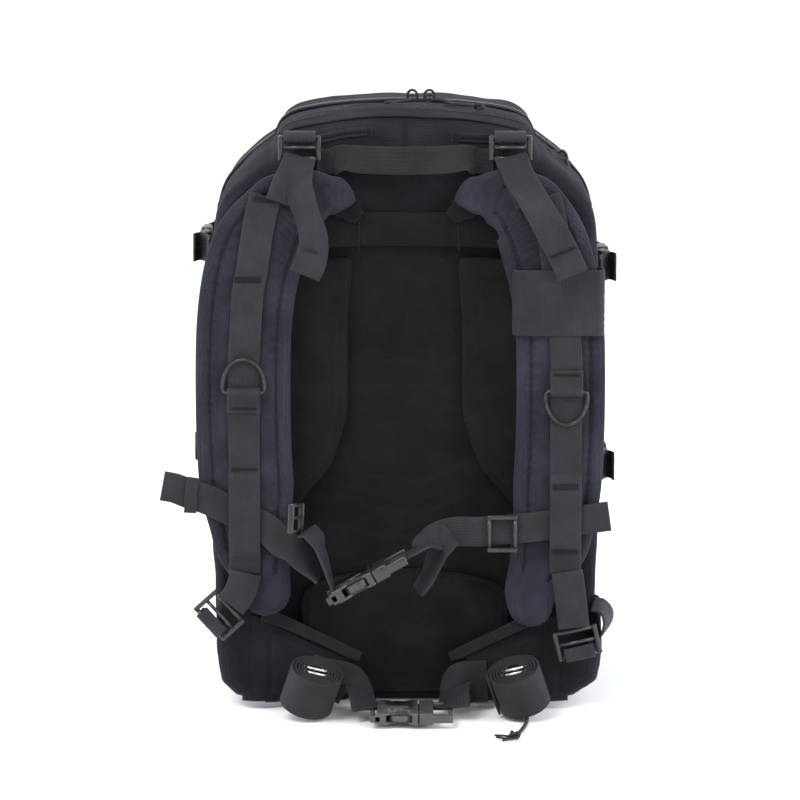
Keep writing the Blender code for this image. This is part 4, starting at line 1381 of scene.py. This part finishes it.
def add_haul_handle():
    """Wide webbing whose folded ends are sewn to the back panel and stand open in the middle."""
    z = 0.4425
    route = [(-0.06, 0.003, -0.004, 0.0), (-0.055, 0.005, -0.002, 0.3), (-0.047, 0.0105, 0.001, 0.5),
             (-0.032, 0.0165, 0.0, 0.2), (0, 0.019, -0.0005, 0.1)]
    route += [(-x, out, dz, tilt) for x, out, dz, tilt in route[-2::-1]]
    rows = [(x, out, z + dz, (0, -1, tilt)) for x, out, dz, tilt in route]
    laid_webbing("grab_handle", rows, 0.022, "handle", ("haul_handle",), "handle_webbing", spacing=0.002,
                 ripple=0.0006)
    shape = bmesh.new()
    for sign in (-1, 1):
        end = [(sign * 0.069, 0.0022, z - 0.003), (sign * 0.06, 0.0044, z - 0.004, (sign * 0.2, -1, 0.1)),
               (sign * 0.05, 0.0052, z - 0.01, (sign * 0.3, -1, 0.3))]
        points, faces = split_route(end)
        web(shape, points, [0.022, 0.019, 0.008], faces=faces, spacing=0.002)
    finish_mesh("grab_handle_ends", shape, "handle_webbing", "pack", ())


# Hip belt


def add_hip_belt():
    """The belt's sewn roots, its folding wings with their bound edge, the webbing and the buckle."""
    gusset = [(0.1178, 0.005), (0.136, 0.01), (0.1485, 0.022), (0.1525, 0.05), (0.15, 0.094), (0.1178, 0.084)]
    wing = [(0.045, 0.005), (0.1158, 0.003), (0.1158, 0.0765), (0.098, 0.0695), (0.045, 0.044)]
    soft = {"cap": 0.003, "roll": 0.005}
    bound = (0, -1, 0.4)
    edge = [(0.1145, 0.0262, 0.0778, bound), (0.098, 0.0262, 0.0722, bound), (0.07, 0.0258, 0.059, bound),
            (0.045, 0.025, 0.0465, bound), (0.036, 0.0235, 0.0425, bound)]
    for side, sign in SIDES.items():
        flare = 0.0065 if side == "right" else 0.0
        spread = [(x + flare if x > 0.14 else x, z) for x, z in gusset]
        root = mirrored(spread, [0.003] * 6, sign)
        add_pad(f"hip_root_pad_{side}", root, "pack", "pack_fabric", (f"hip_root_{side}",), 0.013, 0.028,
                **soft)
        flap = mirrored(wing, [0.003] * 5, sign)

        def piping(p, outline=flap):
            return groove(edge_distance(p.x, p.z, outline) - 0.0075, 0.0013, 0.0016)

        add_pad(f"hip_wing_pad_{side}", flap, f"{side}_wing", "pack_fabric", (f"hip_wing_{side}",), 0.0132,
                0.0278, piping, **soft)
        laid_webbing(f"hip_binding_{side}", edge, [0.01, 0.01, 0.009, 0.009, 0.007], f"{side}_wing",
                     look="binding", sign=sign, thick=0.0026, ripple=0.0005)
    add_roll("left", -0.075, 0.4)
    add_roll("right", 0.0905, 2.2)
    for side, body in (("left", "left_wing"), ("right", "waist_plug")):
        laid_webbing(f"hip_webbing_{side}", HIP_ROUTES[side], 0.034, body, (f"hip_web_{side}",),
                     "hip_webbing", spacing=0.002)
    place = Matrix.Translation(at(-0.028, 0.068, 0.008))
    side_release(("waist_socket", "waist_plug_half"), ("hip_socket", "hip_plug"), place, 0.066, 0.044, 0.0095,
                 ("left_wing", "waist_plug"), "waist_plastic")


def add_roll(side, x, start):
    """Spare webbing wound up on its edge, leaning forwards, with the bright bar of its slider in the top."""
    body = f"{side}_wing"
    outer, inner, turns, squeeze, steps = 0.0216, 0.008, 5.2, 0.88, 156
    middle = at(x, 0.06, 0.0265)
    forwards, sideways = math.radians(22), math.radians(-16 * SIDES[side])
    tilt = Matrix.Rotation(forwards, 3, "X") @ Matrix.Rotation(sideways, 3, "Y")
    points, faces = [], []
    for k in range(steps + 1):
        share = k / steps
        angle = 2 * math.pi * turns * share + start
        radius = inner + (outer - inner) * share
        points.append(middle + tilt @ (Vector((math.cos(angle), math.sin(angle) * squeeze, 0)) * radius))
        faces.append(tilt @ Vector((math.cos(angle) * squeeze, math.sin(angle), 0)))
    web_piece(f"hip_roll_webbing_{side}", points, HIP_WEBBING - 0.002, body, (f"hip_roll_{side}",),
              "hip_webbing", faces=faces, spacing=0.0022, thick=0.0021)
    shape = bmesh.new()
    half, high = 0.011, HIP_WEBBING / 2 - 0.003
    for y in (-0.003, 0.003):
        rod(shape, [middle + tilt @ Vector((end, y, high)) for end in (-half, half)], 0.0013, 10)
    finish_mesh(f"hip_slider_bar_{side}", shape, "bright_metal", body, ())


# Side clips, zip and the front


def add_side_clips():
    """Two compression clips a side: the socket rides on the rear half and the plug on the front half."""
    clips = (("left", "upper", 0.361), ("left", "lower", 0.197),
             ("right", "upper", 0.345), ("right", "lower", 0.18))
    thick, length, width = 0.0095, 0.052, 0.023
    bar_y = SEAM_Y - 0.03
    far_y = bar_y + length
    out = BAG_HALF_WIDTH + 0.0019 + thick / 2
    for side, level, z in clips:
        sign = SIDES[side]
        turn = Matrix.Rotation(math.radians(90), 4, "Z") @ Matrix.Rotation(math.radians(90), 4, "X")
        place = Matrix.Translation((sign * out, bar_y, z)) @ turn
        names = (f"side_socket_{side}_{level}", f"side_plug_{side}_{level}")
        nodes = (f"clip_socket_{side}_{level}", f"clip_plug_{side}_{level}")
        side_release(names, nodes, place, length, 0.024, thick, ("pack", "front"), "plastic")
        rear = [(0.1572, bar_y - 0.045, z), (0.159, bar_y - 0.02, z), (out + 0.001, bar_y - 0.004, z),
                (out + 0.005, bar_y + 0.001, z), (out + 0.0085, bar_y - 0.006, z),
                (out + 0.008, bar_y - 0.015, z + 0.001)]
        faces = [(sign, 0.8 if i == 3 else 0, 0) for i in range(6)]
        web_piece(f"side_strap_rear_{side}_{level}", [(sign * x, y, z) for x, y, z in rear], width, "pack",
                  faces=faces, spacing=0.002)
        front = [(out, far_y - 0.001), (out - 0.001, far_y + 0.008), (0.1585, far_y + 0.02),
                 (0.1575, far_y + 0.042), (0.1525, FRONT_END_Y - 0.012), (0.14, FRONT_END_Y - 0.001),
                 (0.118, FRONT_END_Y + 0.0006)]
        faces = [(sign, 0, 0)] * 4 + [(sign, 0.35, 0), (sign * 0.5, 1, 0), (0, 1, 0)]
        web_piece(f"side_strap_front_{side}_{level}", [(sign * x, y, z) for x, y in front], width, "front",
                  faces=faces, spacing=0.002)


def zip_side(name, y, way, body):
    """Half of the zip round the bag: its tape and its teeth."""
    base = 0.012
    start = next(i for i, p in enumerate(OUTLINE) if p.z > base)
    turned = OUTLINE[start:] + OUTLINE[:start]
    tape = [Vector((p.x, y + way * 0.0042, p.z)) for p in turned if p.z > base]
    along_y = Vector((0, 1, 0))
    ahead = tangents(tape)
    outs, rows = [], []
    for place, run in zip(tape, ahead):
        out = run.cross(along_y).normalized()
        if out.dot(place - MIDDLE) < 0:
            out = -out
        outs.append(out)
        section = ((-0.0042, 0.0012), (0.0042, 0.0012), (0.0042, 0.0002), (-0.0042, 0.0002))
        rows.append([place + along_y * (way * depth) + out * lift for depth, lift in section])
    skin_piece(f"{name}_tape", rows, "binding", body)
    shape = bmesh.new()
    pitch = 0.0024
    first = pitch * (0.25 if way > 0 else 0.75)
    count = int((distances(tape)[-1] - first) / pitch) + 1
    for i, place in walk(tape, [first + pitch * k for k in range(count)]):
        place = place - along_y * (way * 0.0032) + outs[i] * 0.0013
        turn = Matrix((ahead[i], along_y, outs[i])).transposed().to_4x4()
        made = bmesh.ops.create_cube(shape, size=1)["verts"]
        bmesh.ops.scale(shape, vec=(0.0014, 0.0024, 0.0012), verts=made)
        bmesh.ops.transform(shape, matrix=Matrix.Translation(place) @ turn, verts=made)
    finish_mesh(f"{name}_teeth", shape, "lock_plastic", body, (), smooth=False)


def add_zip():
    """Both halves of the zip and its two sliders, each with a small loop of cord that stands up."""
    zip_side("zip_rear", SEAM_Y, -1, "pack")
    zip_side("zip_front", FRONT_Y, 1, "front")
    low = BAG_TOP + 0.0006
    outline = [(-0.005, -0.0026), (-0.003, -0.0042), (0.003, -0.0036), (0.005, -0.0018), (0.005, 0.0018),
               (0.003, 0.0036), (-0.003, 0.0042), (-0.005, 0.0026)]
    for side, x in (("left", 0.006), ("right", 0.02)):
        shape = bmesh.new()
        slab(shape, [(x + px, SEAM_Y + py) for px, py in outline], low + 0.001, low + 0.0032, 0.0005)
        arch = [(x + px, SEAM_Y, low + up) for px, up in
                ((-0.003, 0.0028), (-0.002, 0.0052), (0.002, 0.0052), (0.0034, 0.0028))]
        rod(shape, smooth_path(arch, 0.001), 0.0007, 8)
        tab = [(x, SEAM_Y - ahead, low + up) for ahead, up in
               ((0.0002, 0.0042), (0.0045, 0.0034), (0.0075, 0.0022))]
        web(shape, tab, 0.0042, faces=[UPWARDS] * 3, thick=0.001, spacing=0.001, ripple=0)
        finish_mesh(f"zip_runner_{side}", shape, "ring_metal", f"{side}_zip", (f"zip_slider_{side}",))
        angles = [math.pi * k / 6 for k in range(12)]
        loop = [(0.0042 * math.sin(angle), 0.005 - 0.005 * math.cos(angle)) for angle in angles]
        points = [(x + px, SEAM_Y - 0.0075, low + up) for px, up in loop]
        ring_piece(f"zip_loop_{side}", points, CORD * 0.36, 8, "cord", f"{side}_zip")


def add_lid_details(rear):
    """The covered seam that arcs over the lid, the seam between the lid's panels, and the two cord ports."""
    faces = [face.vertices for face in rear.data.polygons]
    tree = BVHTree.FromPolygons([v.co for v in rear.data.vertices], faces)

    def on_lid(x, y, lift):
        place, normal, *_ = tree.ray_cast(Vector((x, y, 1)), -UPWARDS)
        return place + normal * lift, normal

    def lay(name, line, width, lift, look, thick=0.0012):
        places, normals = zip(*[on_lid(x, y, lift) for x, y in line])
        web_piece(name, places, width, "pack", look=look, faces=normals, thick=thick, spacing=0.002,
                  ripple=0.0002)

    def row(start, end, y, count):
        return [(start + (end - start) * k / count, y) for k in range(count + 1)]

    lay("lid_band", row(-0.097, 0.097, -0.03, 26), 0.0125, 0.0008, "binding")
    lines = []
    for y in (-0.0345, -0.0255):
        lines += stitch_line(*zip(*[on_lid(x, y, 0.0017) for x, _ in row(-0.095, 0.095, y, 90)]))
    seam = [(0.0, y) for y in (-0.0535, -0.05, -0.044, -0.038)]
    lay("lid_middle_seam", seam, 0.0022, 0.0005, "back_fabric")
    port_y = -0.0475
    for name, outer, inner in (("left", -0.089, -0.031), ("right", 0.082, 0.042)):
        port = row(outer, inner, port_y, 10)
        lay(f"cord_port_welt_{name}", port, 0.0085, 0.0006, "binding")
        # A strip of the darkest cloth on the welt: painted shadow where the slit opens.
        lay(f"cord_port_slit_shadow_{name}", port, 0.0026, 0.0014, "back_fabric", 0.001)
        for shift in (0.0, math.copysign(0.0045, inner)):
            place, normal = on_lid(inner - shift, port_y, 0.0016)
            lines.append(bartack(place, normal.cross(ACROSS), ACROSS, normal, 0.009, 0.0016))
    thread_piece("lid_stitches", lines, "pack", 0.0003)


def add_corner_loop():
    """A small webbing loop with a ring, high on the right corner."""
    middle = Vector((0.1255, 0.02, 0.433))
    steps = ((-0.008, -0.01, 0.006), (-0.003, -0.006, 0.004), (0.003, -0.001, 0.003), (0.008, 0.003, -0.008))
    strip = [middle + Vector(step) for step in steps]
    web_piece("corner_loop", strip, 0.012, "pack", faces=[(0.6, -0.2, 0.8)] * 4, spacing=0.002)
    angles = [math.pi * k / 12 for k in range(24)]
    ring = [middle + Vector((0.001 + 0.005 * math.cos(a), -0.003, 0.0072 * math.sin(a))) for a in angles]
    ring_piece("corner_ring", ring, 0.0013, 10, "ring_metal", "pack")


def add_wing_covers():
    """The cloth that bridges each wing's fold line."""
    low, thick, steps, levels = 0.0065, 0.0012, 12, 14
    for side, sign in SIDES.items():
        rows = []
        for k in range(steps + 1):
            share = k / steps
            x = sign * (0.131 - 0.029 * share)
            out = 0.0242 + 0.003 * math.sin(math.pi * share)
            top = 0.08 - 0.009 * share
            heights = [low + (top - low) * j / levels for j in range(levels + 1)]
            line = [(out + 0.0005 * noise.noise(Vector((z / 0.01, share * 2, sign))), z) for z in heights]
            rows.append([at(x, w, z) for w, z in line] + [at(x, w - thick, z) for w, z in line[::-1]])
        piece = skin_piece(f"hip_fold_cloth_{side}", rows, "pack_fabric", None)
        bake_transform(piece)


def add_yoke_gussets():
    """The small cloth triangle that ties each strap's inner end to the back panel."""
    for side, sign in SIDES.items():
        face = (sign * 0.2, -1, 0.2)
        route = [(0.058, 0.012, 0.413, face), (0.048, 0.014, 0.406, face), (0.041, 0.013, 0.4, face),
                 (0.036, 0.0124, 0.396, face)]
        laid_webbing(f"yoke_gusset_{side}", route, [0.028, 0.022, 0.016, 0.011], "pack", look="back_fabric",
                     sign=sign, thick=0.0024, spacing=0.0015, ripple=0.0008)


def add_hinge_strip():
    """The cloth hinge along the base."""
    half, low, high, steps = 0.118, 0.003, 0.004, 12
    section = ((-half, low), (half, low), (half, high), (-half, high))
    places = [SEAM_Y - 0.01 + 0.0215 * k / steps for k in range(steps + 1)]
    rows = [[Vector((x, y, z)) for x, z in section] for y in places]
    piece = skin_piece("base_hinge_cloth", rows, "lining", None)
    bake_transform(piece)


def add_front_pocket():
    """A flat pouch with rows of webbing, open at its top."""
    near, deep, base, levels = FRONT_END_Y + 0.0004, 0.03, 0.004, 40
    half, low, high = 0.11, 0.06, 0.3

    def ring(z, inset, squeeze):
        x, far = half - inset, near + deep - inset - squeeze
        corners = [(-x, near + inset), (x, near + inset), (x, far), (-x, far)]
        line = [Vector((px, py, z)) for px, py in filleted(corners, [0.004, 0.004, 0.012, 0.012], 8)]
        return evenly([*line, line[0]], 72)

    rows = []
    for k in range(levels + 1):
        share = k / levels
        sag = 0.004 * (1 - math.sin(math.pi * min(1.0, 0.15 + 0.85 * share)))
        rows.append(ring(low + base + (high - low - base) * share, 0.0 if k else 0.002, sag))
    inside = [ring(row[0].z, 0.003, 0.004) for row in rows[::-1]]
    rows = [ring(low, 0.006, 0.004), *rows, *inside]
    for row in rows:
        for p in row:
            wave = 0.0012 * soft_noise(p, (0.04, 0.04, 0.03), 6.0)
            if p.y > near + deep * 0.5:
                p.y += min(wave, 0.001) - 0.0008
    skin_piece("pocket_front", rows, "pack_fabric", "front", ("front_pocket",))
    tacks = []
    face = near + deep + 0.0002
    forwards = Vector((0, 1, 0))
    for row in range(4):
        z = 0.1 + row * 0.05
        points = [Vector((x, face, z)) for x in (-0.104, -0.06, -0.02, 0.02, 0.06, 0.104)]
        web_piece(f"pocket_webbing_{row + 1}", points, WEBBING, "front", faces=[forwards] * 6, thick=0.0016)
        for column in range(6):
            middle = Vector((-0.095 + column * 0.038, face + 0.001, z))
            tacks.append(bartack(middle, UPWARDS, ACROSS, forwards, 0.022))
    thread_piece("pocket_tacks", tacks, "front", 0.0004)
    rim = [Vector((x, face - 0.0004, high - 0.004)) for x in (-0.103, -0.05, 0, 0.05, 0.103)]
    web_piece("pocket_hem", rim, 0.012, "front", look="binding", faces=[forwards] * 5, thick=0.0018)


def add_inside():
    """The organiser panel and the open pouch on it, seen when the bag is open."""
    panel = 0.0092
    outline = filleted([(-0.125, 0.016), (0.125, 0.016), (0.125, 0.39), (-0.125, 0.39)], [0.012] * 4)
    mesh = plate_mesh("organiser", outline, -panel - 0.002, -panel, 0.0045)
    for vert in mesh.vertices:
        vert.co.y += 0.0003 * soft_noise(vert.co, (0.03, 1, 0.03), 2.0)
    finish_piece("organiser", mesh, "lining", "pack", ("organiser_panel",))
    near = BACK_Y + panel + 0.0024
    half, low, high, deep, wall, levels = 0.11, 0.02, 0.17, 0.04, 0.002, 12

    def ring(z, inset, lean):
        x, front = half - inset, near + deep - inset - lean
        corners = [(-x, near + inset), (x, near + inset), (x, front), (-x, front)]
        return [Vector((px, py, z)) for px, py in filleted(corners, [0.002, 0.002, 0.01, 0.01], 6)]

    leans = [0.006 * (k / levels) ** 2 for k in range(levels + 1)]
    heights = [low + (high - low) * k / levels for k in range(levels + 1)]
    rows = [ring(z, 0.0, lean) for z, lean in zip(heights, leans)]
    heights[0] += wall
    rows += [ring(z, wall, lean) for z, lean in zip(heights[::-1], leans[::-1])]
    skin_piece("kit_pouch", rows, "lining", "pack", ("inner_pouch",))


def dress_rigid_nodes():
    """Rigid CAD parts whose shape is right keep it and get a real material."""
    looks = {"frame_sheet": "sheet_plastic", "stay_left": "aluminium", "stay_right": "aluminium"}
    for node, look in looks.items():
        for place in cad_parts[node].material_slots:
            place.material = LOOKS[look]


add_camera()
add_studio()
add_cords()
REAR = add_bag()
add_lid_details(REAR)
add_corner_loop()
add_back_pads()
add_yoke_gussets()
for SIDE in SIDES:
    add_strap(SIDE)
    add_daisy_chain(SIDE)
    add_d_ring(SIDE)
    add_lifter(SIDE)
    add_lower_lock(SIDE)
add_sleeve()
add_sternum_strap()
add_haul_handle()
add_hip_belt()
add_wing_covers()
add_side_clips()
add_zip()
add_hinge_strip()
add_front_pocket()
add_inside()
dress_rigid_nodes()
